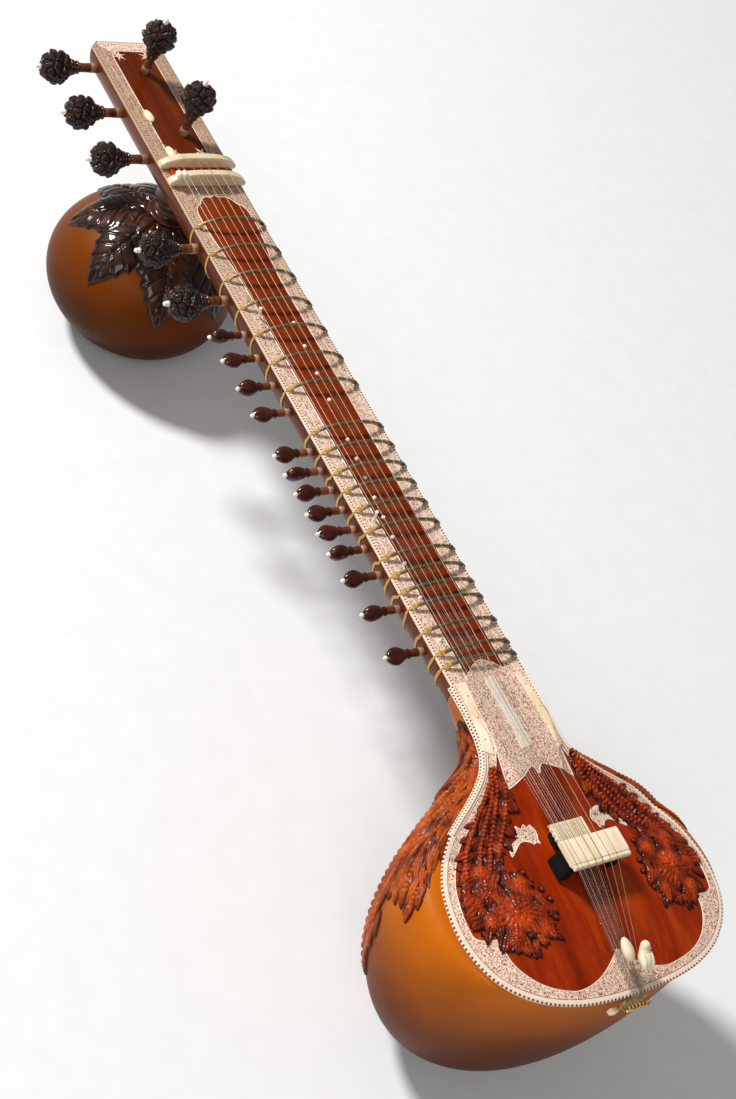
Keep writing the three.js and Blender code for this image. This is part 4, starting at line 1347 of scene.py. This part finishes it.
def eyelet_place(node):
    """The eyelets stand on a line that slants over the neck."""
    x = middle_mm(node).x
    along = (x - EYELETS_X[0]) / (EYELETS_X[1] - EYELETS_X[0])
    return x, EYELETS_Y[0] + along * (EYELETS_Y[1] - EYELETS_Y[0])


def strings():
    main, thin = string_lines()
    for n, (line, radius) in enumerate(zip(main, MAIN_STRING_RADIUS), 1):
        look = BRONZE if n in (4, 5) else STEEL
        stands_for = ["main_strings"] if n == 1 else ()
        piece(f"main_string_{n}", tube(line, radius, 8), look, stands_for=stands_for)
    for n, line in enumerate(thin, 1):
        stands_for = ["sympathetic_strings"] if n == 1 else ()
        part = tube(line, THIN_STRING_RADIUS, 6)
        piece(f"sympathetic_string_{n:02d}", part, STEEL, stands_for=stands_for)


def eyelets():
    profile = spline([(0.01, 1.9), (1.2, 1.7), (2.1, 0.8), (2.4, -0.2), (2.4, -1.5), (0.01, -1.5)], 16)
    shape = turned(profile.tolist(), 20)
    for n, node in enumerate(THIN_PEGS, 1):
        place = shift(*eyelet_place(node), FACE_Z + 0.3)
        piece(f"eyelet_{n:02d}", moved(shape, place), WHITE_BONE)
    profile = [(0, -1), (2.2, -1), (2.2, 0), (1.7, 1), (1.5, 12), (2.0, 13.5), (1.6, 15), (0, 15.6)]
    for n, (x, y) in enumerate(DRONE_POSTS, 1):
        lean = shift(x, y, FACE_Z) @ rotation(-16, "X")
        rounded(piece(f"drone_post_{n}", moved(turned(profile, 20), lean), WHITE_BONE), 0.3)


# ---- frets and their ties ----
FRET_ROD = 1.9
THREAD_RADIUS = 0.42


def fret_line(node):
    """The middle line of a fret's rod, from its own box."""
    low, high = box_mm(node)
    x = (low.x + high.x) / 2
    foot = low.z + FRET_ROD
    rise = high.z - low.z - 2 * FRET_ROD
    across = np.cos(np.linspace(0, np.pi, 41))
    reach = (high.y - low.y) / 2
    return x, np.column_stack([np.full(41, x), reach * across, foot + rise * (1 - np.abs(across) ** 2.5)])


THIN_SHAFT_RADIUS = 4.3
MAIN_SHAFT_RADIUS = 5.6


def peg_spots():
    """Place along the neck and radius of each peg in its side, from the tail up."""
    pegs_here = [(node, THIN_SHAFT_RADIUS) for node in THIN_PEGS]
    pegs_here += [(node, MAIN_SHAFT_RADIUS) for node in SIDE_PEGS]
    return sorted((middle_mm(node).x, radius) for node, radius in pegs_here)


def tie_x(x, spots):
    """Where a fret's thread goes round the neck's side, clear of the peg shafts by its travel."""
    room = 8.4
    low = max([s + half for s, half in spots if s <= x], default=x - 60) + room
    high = min([s - half for s, half in spots if s > x], default=x + 60) - room
    return (low + high) / 2 if low > high else min(max(x, low), high)


def frets():
    spots = peg_spots()
    for node in FRETS:
        x, line = fret_line(node)
        rod = tube(line, FRET_ROD, 14)
        piece(f"{node}_rod", rod, FRET_METAL, node, [node])
        side_x = tie_x(x, spots)
        golden, dark = fret_tie(x, side_x, line)
        piece(f"{node}_tie", golden, GOLD_THREAD, node)
        piece(f"{node}_wrap", dark, DARK_THREAD, node)


def thread_along(points, steps):
    return tube(spline(points, steps), THREAD_RADIUS, 6)


def fret_tie(x, side_x, line):
    """The thread round the neck's back, crossed at the peg side, and the darker wraps at the other foot."""
    golden = []
    dark = []
    depth = NECK_HIGH.z - NECK_LOW.z
    foot_y, foot_z = line[0, 1:]
    turns = np.linspace(0.02, np.pi - 0.02, 60)
    slant = np.abs(np.cos(turns)) ** 200
    back_y = (HALF_WIDTH + 0.5) * np.cos(turns)
    back_z = NECK_HIGH.z - 2 - (depth - 2 + 0.5) * np.sin(turns)
    for offset in (-1.2, -0.45, 0.45, 1.2):
        back = np.column_stack([side_x + offset + (x - side_x) * slant, back_y, back_z])
        ends = []
        for side, spread, edge in ((1, -2.6, -0.2), (-1, 0.9, 1)):
            ends.append([
                [x + edge * offset, side * (HALF_WIDTH + 0.3), FACE_Z + 0.6],
                [x + spread * 0.5 * offset, side * (foot_y + 2.4), FACE_Z + 1.2],
                [x + spread * 0.7 * offset, side * (foot_y - 1), foot_z + FRET_ROD + 0.2],
            ])
        golden.append(thread_along(np.vstack([ends[0][::-1], back]), 80))
        dark.append(thread_along(np.vstack([back[-1:], ends[1]]), 10))
    around = np.linspace(0, 2 * np.pi, 17)
    for side, coils, rounds in ((1, golden, 3), (-1, dark, 6)):
        for k in range(rounds):
            y = side * (foot_y - 1.0 - 0.85 * k)
            centre = np.interp(abs(y), line[:21, 1][::-1], line[:21, 2][::-1])
            high = np.maximum(centre + 2.25 * np.sin(around), FACE_Z + 0.5)
            coil = np.column_stack([x + 2.3 * np.cos(around), y + 0.25 * np.sin(around), high])
            coils.append(tube(coil, THREAD_RADIUS, 6))
    return merged(golden), merged(dark)


# ---- pegs ----
BALL_LOW, BALL_HIGH, BALL_RADIUS = 31, 72, 21.3
PETALS = 34
PETAL_EDGE = 0.24
PETAL_DEPTH = 6


def carved_ball():
    """A ball of overlapping carved petals round Z, and its map of painted shade between the petals."""
    polar = np.linspace(0.05, 0.95, 130) * math.pi
    turn = np.linspace(0, 2 * math.pi, 168, endpoint=False)
    p, t = np.meshgrid(polar, turn, indexing="ij")
    way = np.stack([np.sin(p) * np.cos(t), np.sin(p) * np.sin(t), -np.cos(p)], -1)
    n = np.arange(PETALS) + 0.5
    tall = 1 - 2 * n / PETALS
    out = np.sqrt(1 - tall**2)
    spin = n * math.pi * (1 + math.sqrt(5))
    centres = np.column_stack([out * np.cos(spin), out * np.sin(spin), tall])
    centres += [[random.uniform(-0.13, 0.13) for _ in "xyz"] for _ in range(PETALS)]
    centres /= np.linalg.norm(centres, axis=1, keepdims=True)
    gaps = np.arccos(np.clip(way @ centres.T, -1, 1))
    first, second = np.moveaxis(np.sort(gaps, axis=-1)[..., :2], -1, 0)
    middle = centres[gaps.argmin(axis=-1)]
    east = np.stack([-middle[..., 1], middle[..., 0], np.zeros(p.shape)], -1)
    east /= np.linalg.norm(east, axis=-1, keepdims=True)
    sideways = ((way - middle) * east).sum(axis=-1)
    upwards = way[..., 2] - middle[..., 2]
    dome = np.clip((second - first) / PETAL_EDGE, 0, 1) ** 0.45
    rib = 1 - 0.4 * np.exp(-((sideways / 0.035) ** 2))
    veins = 1 - 0.3 * np.clip(np.cos(50 * (upwards - np.abs(sideways))), 0, 1) ** 2
    height = dome * rib * veins * np.clip(0.72 + 1.1 * upwards, 0.3, 1.05)
    radius = BALL_RADIUS - PETAL_DEPTH * (1.05 - height)
    rings = way * radius[..., None] * [1, 1, (BALL_HIGH - BALL_LOW) / 2 / BALL_RADIUS]
    rings[..., 2] += (BALL_LOW + BALL_HIGH) / 2
    # Painted shade: the gaps between petals, and both end tips, take the hollows' dark colour.
    share = np.clip(height, 0, 1).reshape(-1, 1)
    return closed_skin(rings), np.vstack([np.hstack([share, share]), np.zeros((2, 2))])


def main_peg_parts(inside_depth):
    shaft = [(0, -inside_depth), (4.6, -inside_depth), (5.4, -8), (5.4, 8), (5.1, 16), (5.3, 25), (0, 25)]
    ferrule = [(0, 0.2), (5.7, 0.2), (5.6, 8), (5.5, 9), (0, 9)]
    collar = [
        (0.01, 24), (6, 24), (7.6, 25.4), (6.8, 27), (6.4, 28), (8.2, 29.6), (9, 31), (8.4, 32.4), (10.5, 35),
    ]
    collar = spline(collar, 36).tolist() + [(0, 35)]
    tip = [(0, 70), (2.9, 70), (3, 72.2), (2.2, 73), (2.6, 75), (1.8, 76.6), (0, 77)]
    return turned(shaft, 28), turned(ferrule, 28), turned(collar, 32), turned(tip, 20)


def thin_peg_parts():
    shaft = [(0, -36), (3.4, -36), (4.1, -8), (4.1, 8), (3.7, 16), (3.9, 20), (0, 20)]
    ferrule = [(0, 0.2), (4.3, 0.2), (4.2, 7), (0, 7)]
    knob = [
        (0.01, 17), (4.4, 17), (4.9, 19), (4.3, 21), (6.2, 24.5), (8.4, 29), (8.9, 33), (7.9, 37),
        (5.4, 41), (2.4, 43.8),
    ]
    points, faces = turned(spline(knob, 40).tolist() + [(0, 43.8)], 32)
    points = np.array(points)
    points[:, 0] *= 1 - 0.36 * smoothstep(points[:, 2], 22, 30)
    tip = spline([(0.01, 42.8), (2.1, 43), (2.2, 44.4), (1.4, 46.2), (0.01, 46.8)], 14).tolist()
    return turned(shaft, 24), turned(ferrule, 24), (points, faces), turned(tip, 18)


def peg(node, parts, place, knob_look, stands_for):
    shaft, ferrule, knob, tip = (moved(part, place) for part in parts)
    piece(f"{node}_shaft", shaft, SHAFT_WOOD, node)
    piece(f"{node}_ferrule", ferrule, PALE_SHAFT, node)
    piece(f"{node}_knob", knob, knob_look, node, stands_for)
    piece(f"{node}_tip", tip, WHITE_BONE, node)


def main_peg(node, inside_depth, place):
    ball, hollow_shade_map = carved_ball()
    peg(node, main_peg_parts(inside_depth), place, TURNED_DARK, ())
    piece(f"{node}_ball", moved(ball, place), CARVED_DARK, node, [node], uv=hollow_shade_map)


def pegs():
    drop = (PEG_AXIS_Z - (FACE_Z - 5)) / NECK_BELLY
    surface_y = HALF_WIDTH * math.sqrt(1 - drop * drop)

    def in_side(node, degrees):
        return shift(middle_mm(node).x, surface_y, PEG_AXIS_Z) @ rotation(-90, "X") @ rotation(degrees, "Z")

    for n, node in enumerate(SIDE_PEGS):
        main_peg(node, 70, in_side(node, math.degrees(0.7 * n)))
    for n, node in enumerate(FACE_PEGS):
        x, y, _ = middle_mm(node)
        main_peg(node, 30, shift(x, y, FACE_Z) @ rotation(math.degrees(n), "Z"))
    for degrees, node in zip(KNOB_TURNS, THIN_PEGS):
        peg(node, thin_peg_parts(), in_side(node, degrees), THIN_KNOB_WOOD, [node])


# ---- the upper gourd ----
def upper_surface(grow):
    """The upper gourd's skin on a flat map: distance from the map's middle is the arc from the top."""
    angles = np.linspace(0, math.pi, 400)
    radius = UPPER_RADIUS + grow
    half_height = UPPER_HALF_HEIGHT + grow
    arcs = gone_along(np.column_stack([radius * np.sin(angles), half_height * np.cos(angles)]))

    def surface(a, b):
        angle = np.interp(np.hypot(a, b), arcs, angles)
        turn = np.arctan2(b, a)
        out = radius * np.sin(angle)
        z = UPPER_Z + half_height * np.cos(angle)
        return np.stack([UPPER_X + out * np.cos(turn), out * np.sin(turn), z], -1)

    return surface


def upper_gourd():
    flat = math.acos(-UPPER_Z / UPPER_HALF_HEIGHT)
    angles = np.linspace(0.01, flat, 70)
    profile = [(UPPER_RADIUS * math.sin(a), UPPER_Z + UPPER_HALF_HEIGHT * math.cos(a)) for a in angles]
    shape = turned([(0, profile[0][1])] + profile + [(0, profile[-1][1])], 128)
    shell = moved(shape, shift(UPPER_X, 0, 0))
    piece("upper_gourd_shell", shell, UPPER_SKIN, "upper_gourd", ["upper_gourd"])


# Direction and length of each leaf on the upper gourd.
CROWN_LEAVES = [(20, 112), (66, 116), (113, 129), (161, 141), (204, 137), (249, 131), (293, 128), (337, 119)]


def upper_crown():
    parts = []
    for i, (turn, length) in enumerate(CROWN_LEAVES):
        parts.append(leaf(0, 0, turn, length, 78, 4.4, veins=9, lift=0.9 if i % 2 else 0.0))
        parts.append(leaf(0, 0, turn + 22, 84, 50, 4.0, veins=7, lift=-0.4))
        parts.append(leaf(0, 0, turn + 6, 58, 34, 4.6, veins=5, lift=1.6))
    place = above(upper_surface(0.5))
    part, hollow_shade_map = relief_mesh(parts, (-144, -144), (144, 144), 0.85, place)
    piece("upper_crown_leaves", part, CARVED_DARK, "upper_gourd",
          ["upper_gourd_crown"], uv=hollow_shade_map)
    profile = [
        (0.01, 0), (21, 0), (24, 3), (17, 6), (15, 13), (19, 16), (19, 19), (8, 19), (8, 30), (0.01, 30),
    ]
    mount = moved(turned(spline(profile, 60).tolist(), 48), shift(UPPER_X, 0, MOUNT_FOOT))
    piece("upper_mount_turned", mount, TURNED_DARK, "upper_gourd", ["upper_gourd_mount"])


def upper_socket():
    foot, top = SOCKET_LOW.z, SOCKET_HIGH.z
    profile = [
        (8.5, foot), (21, foot), (22.5, foot + 2), (23, foot + 4), (20.5, (foot + top) / 2), (20, top - 1),
        (16, top), (0.01, top), (0.01, top - 1.5), (8.5, top - 1.5),
    ]
    sides = 48
    points = np.vstack([ring(r, z, sides) for r, z in profile]) + [UPPER_X, 0, 0]
    faces = grid_faces(len(profile), sides, wrap=True).tolist()
    last = (len(profile) - 1) * sides
    faces += [[last + i, last + (i + 1) % sides, (i + 1) % sides, i] for i in range(sides)]
    made = piece("upper_socket_turned", (points, faces), TURNED_DARK,
                 stands_for=["upper_gourd_socket"])
    rounded(made, 0.6)


# ---- beads ----
def ball(centre, radii, rings=24, sides=32, pull=0.0):
    """An egg: its +X end is drawn out by pull."""
    angles = np.linspace(0.05, math.pi - 0.05, rings)
    turns = np.linspace(0, 2 * math.pi, sides, endpoint=False)
    rows = []
    for a in angles:
        thin = 1 - pull * (math.cos(a) * 0.5 + 0.5)
        rows.append(np.column_stack([
            np.full(sides, centre[0] + radii[0] * math.cos(a)),
            centre[1] + radii[1] * math.sin(a) * thin * np.cos(turns),
            centre[2] + radii[2] * math.sin(a) * thin * np.sin(turns),
        ]))
    return closed_skin(rows)


def bead_place(node, degrees):
    """A bead's place on its string, which slopes down to the tail."""
    return shift(*middle_mm(node)) @ rotation(degrees, "Z") @ rotation(-21, "Y")


def swan_bead():
    """A small resting bird that looks over its shoulder, carved in one piece with folded wings."""
    body = ball((-2.5, 0, 0), (9.5, 6.8, 6.2))
    tails = [ball((-10.5, side * 2.2, 0.6), (4.4, 2.2, 1.7)) for side in (-1, 1)]
    wings = [ball((-3.5, side * 4.2, 1.8), (8.6, 3.0, 4.0)) for side in (-1, 1)]
    neck = tube(spline([(3, 0, 0.5), (6, 0, 1.8), (8.2, 0, 3.2)], 10), np.linspace(5.2, 4.4, 11), 20)
    head = ball((8.6, -0.4, 3.4), (4.7, 4.6, 4.5))
    look_round = shift(8.6, -0.4, 3.4) @ rotation(-118, "Z")
    beak = moved(ball((5.4, 0, -0.6), (3.0, 1.4, 1.2), pull=0.7), look_round)
    place = bead_place("swan_bead", -5)
    shape = moved(merged([body, *tails, neck, head, beak, *wings]), place)
    made = piece("swan_bead_bone", shape, BONE, "swan_bead", ["swan_bead"])
    fuse = made.modifiers.new("fuse", "REMESH")
    fuse.mode = "VOXEL"
    fuse.voxel_size = 0.4 * MM
    fuse.use_smooth_shade = True
    soften = made.modifiers.new("soften", "SMOOTH")
    soften.iterations = 5
    eye_places = [place @ look_round @ shift(3.3, side * 2.6, 1.6) for side in (-1, 1)]
    eyes = merged([moved(ball((0, 0, 0), (0.8, 0.8, 0.8), 10, 12), spot) for spot in eye_places])
    piece("swan_bead_eyes", eyes, INK, "swan_bead")


def leaf_bead():
    shape = moved(ball((0, 0, 0), (11, 6.2, 6), pull=0.25), bead_place("leaf_bead", 6))
    piece("leaf_bead_bone", shape, BONE, "leaf_bead", ["leaf_bead"])


HEAD_BEADS = [(1001, 24), (942, 22)]


def head_beads():
    """Two egg-shaped beads on a loose string end that lies along the head."""
    line = [(1085, 37), (1040, 33), HEAD_BEADS[0], (970, 30), HEAD_BEADS[1], (925, 30)]
    string = spline([(x, y, FACE_Z + 0.5) for x, y in line], 60)
    piece("head_loose_string", tube(string, 0.3, 6), STEEL)
    for n, (x, y) in enumerate(HEAD_BEADS, 1):
        shape = ball((x, y, FACE_Z + 0.6), (10, 6.2, 3.4), pull=0.25)
        piece(f"head_bead_{n}", shape, BONE)


# ---- stage ----
# The studio, in metres.
FLOOR_SIZE = 30.0
FLOOR_LINES = 12
LIT_PLACE = (0.45, 0, 0.2)
KEY_PLACE = (4.55, 3.0, 5.0)
FILL_PLACE = (-2.6, 3.6, 4.0)
CAMERA_PLACE = (-0.4145, 1.1148, 1.4894)
CAMERA_RIGHT = (-0.438, -0.802, 0.406)
CAMERA_UP = (0.782, -0.117, 0.612)
LENS = 61.8
SENSOR_WIDTH = 36


def to_scene(name, data):
    made = bpy.data.objects.new(name, data)
    bpy.context.scene.collection.objects.link(made)
    return made


def floor():
    mesh = bpy.data.meshes.new("floor")
    spots = np.linspace(-FLOOR_SIZE / 2, FLOOR_SIZE / 2, FLOOR_LINES)
    points = [(0.5 + x, y - 0.5, 0) for x in spots for y in spots]
    mesh.from_pydata(points, [], grid_faces(FLOOR_LINES, FLOOR_LINES).tolist())
    mesh.materials.append(pale_floor())
    to_scene("floor", mesh)


def area_light(name, place, towards, size, power):
    light = bpy.data.lights.new(name, "AREA")
    light.shape = "DISK"
    light.size = size
    light.energy = power
    made = to_scene(name, light)
    made.location = place
    made.rotation_mode = "QUATERNION"
    made.rotation_quaternion = (Vector(towards) - Vector(place)).to_track_quat("-Z", "Y")


def lights():
    area_light("key", KEY_PLACE, LIT_PLACE, 1.2, 540)
    area_light("fill", FILL_PLACE, LIT_PLACE, 3.0, 90)
    world = bpy.data.worlds.new("studio")
    world.use_nodes = True
    world.node_tree.nodes["Background"].inputs["Color"].default_value = (1, 1, 1, 1)
    world.node_tree.nodes["Background"].inputs["Strength"].default_value = 0.2
    bpy.context.scene.world = world


def camera():
    """The photograph's view: from the tail's side, high over the peg side, with the neck running up."""
    right = Vector(CAMERA_RIGHT)
    up = Vector(CAMERA_UP)
    back = right.cross(up).normalized()
    up = back.cross(right).normalized()
    facing = Matrix((right, up, back)).transposed()
    made = to_scene("camera", bpy.data.cameras.new("camera"))
    made.data.lens = LENS
    made.data.sensor_width = SENSOR_WIDTH
    made.matrix_world = shift(*CAMERA_PLACE) @ facing.to_4x4()
    bpy.context.scene.camera = made


bpy.context.scene.view_settings.view_transform = "Standard"
camera()
floor()
lights()
main_gourd()
neck_joint()
soundboard()
rim_binding()
carved_panels()
carved_flanks()
carved_joint()
neck_wood()
faceplate("neck_face", PEAR_END_X + GAP, GUIDE_X - 1, 0.02, "neck_faceplate", 20, False)
faceplate("head_face", HEAD_LOW.x, HEAD_HIGH.x, 9, "headstock_face", 1.5, True)
neck_panel()
head_panel()
throat_plate()
throat_strips()
birds()
main_bridge()
small_bridge()
nut_and_guide()
tailpiece()
strings()
eyelets()
frets()
pegs()
upper_gourd()
upper_crown()
upper_socket()
swan_bead()
leaf_bead()
head_beads()
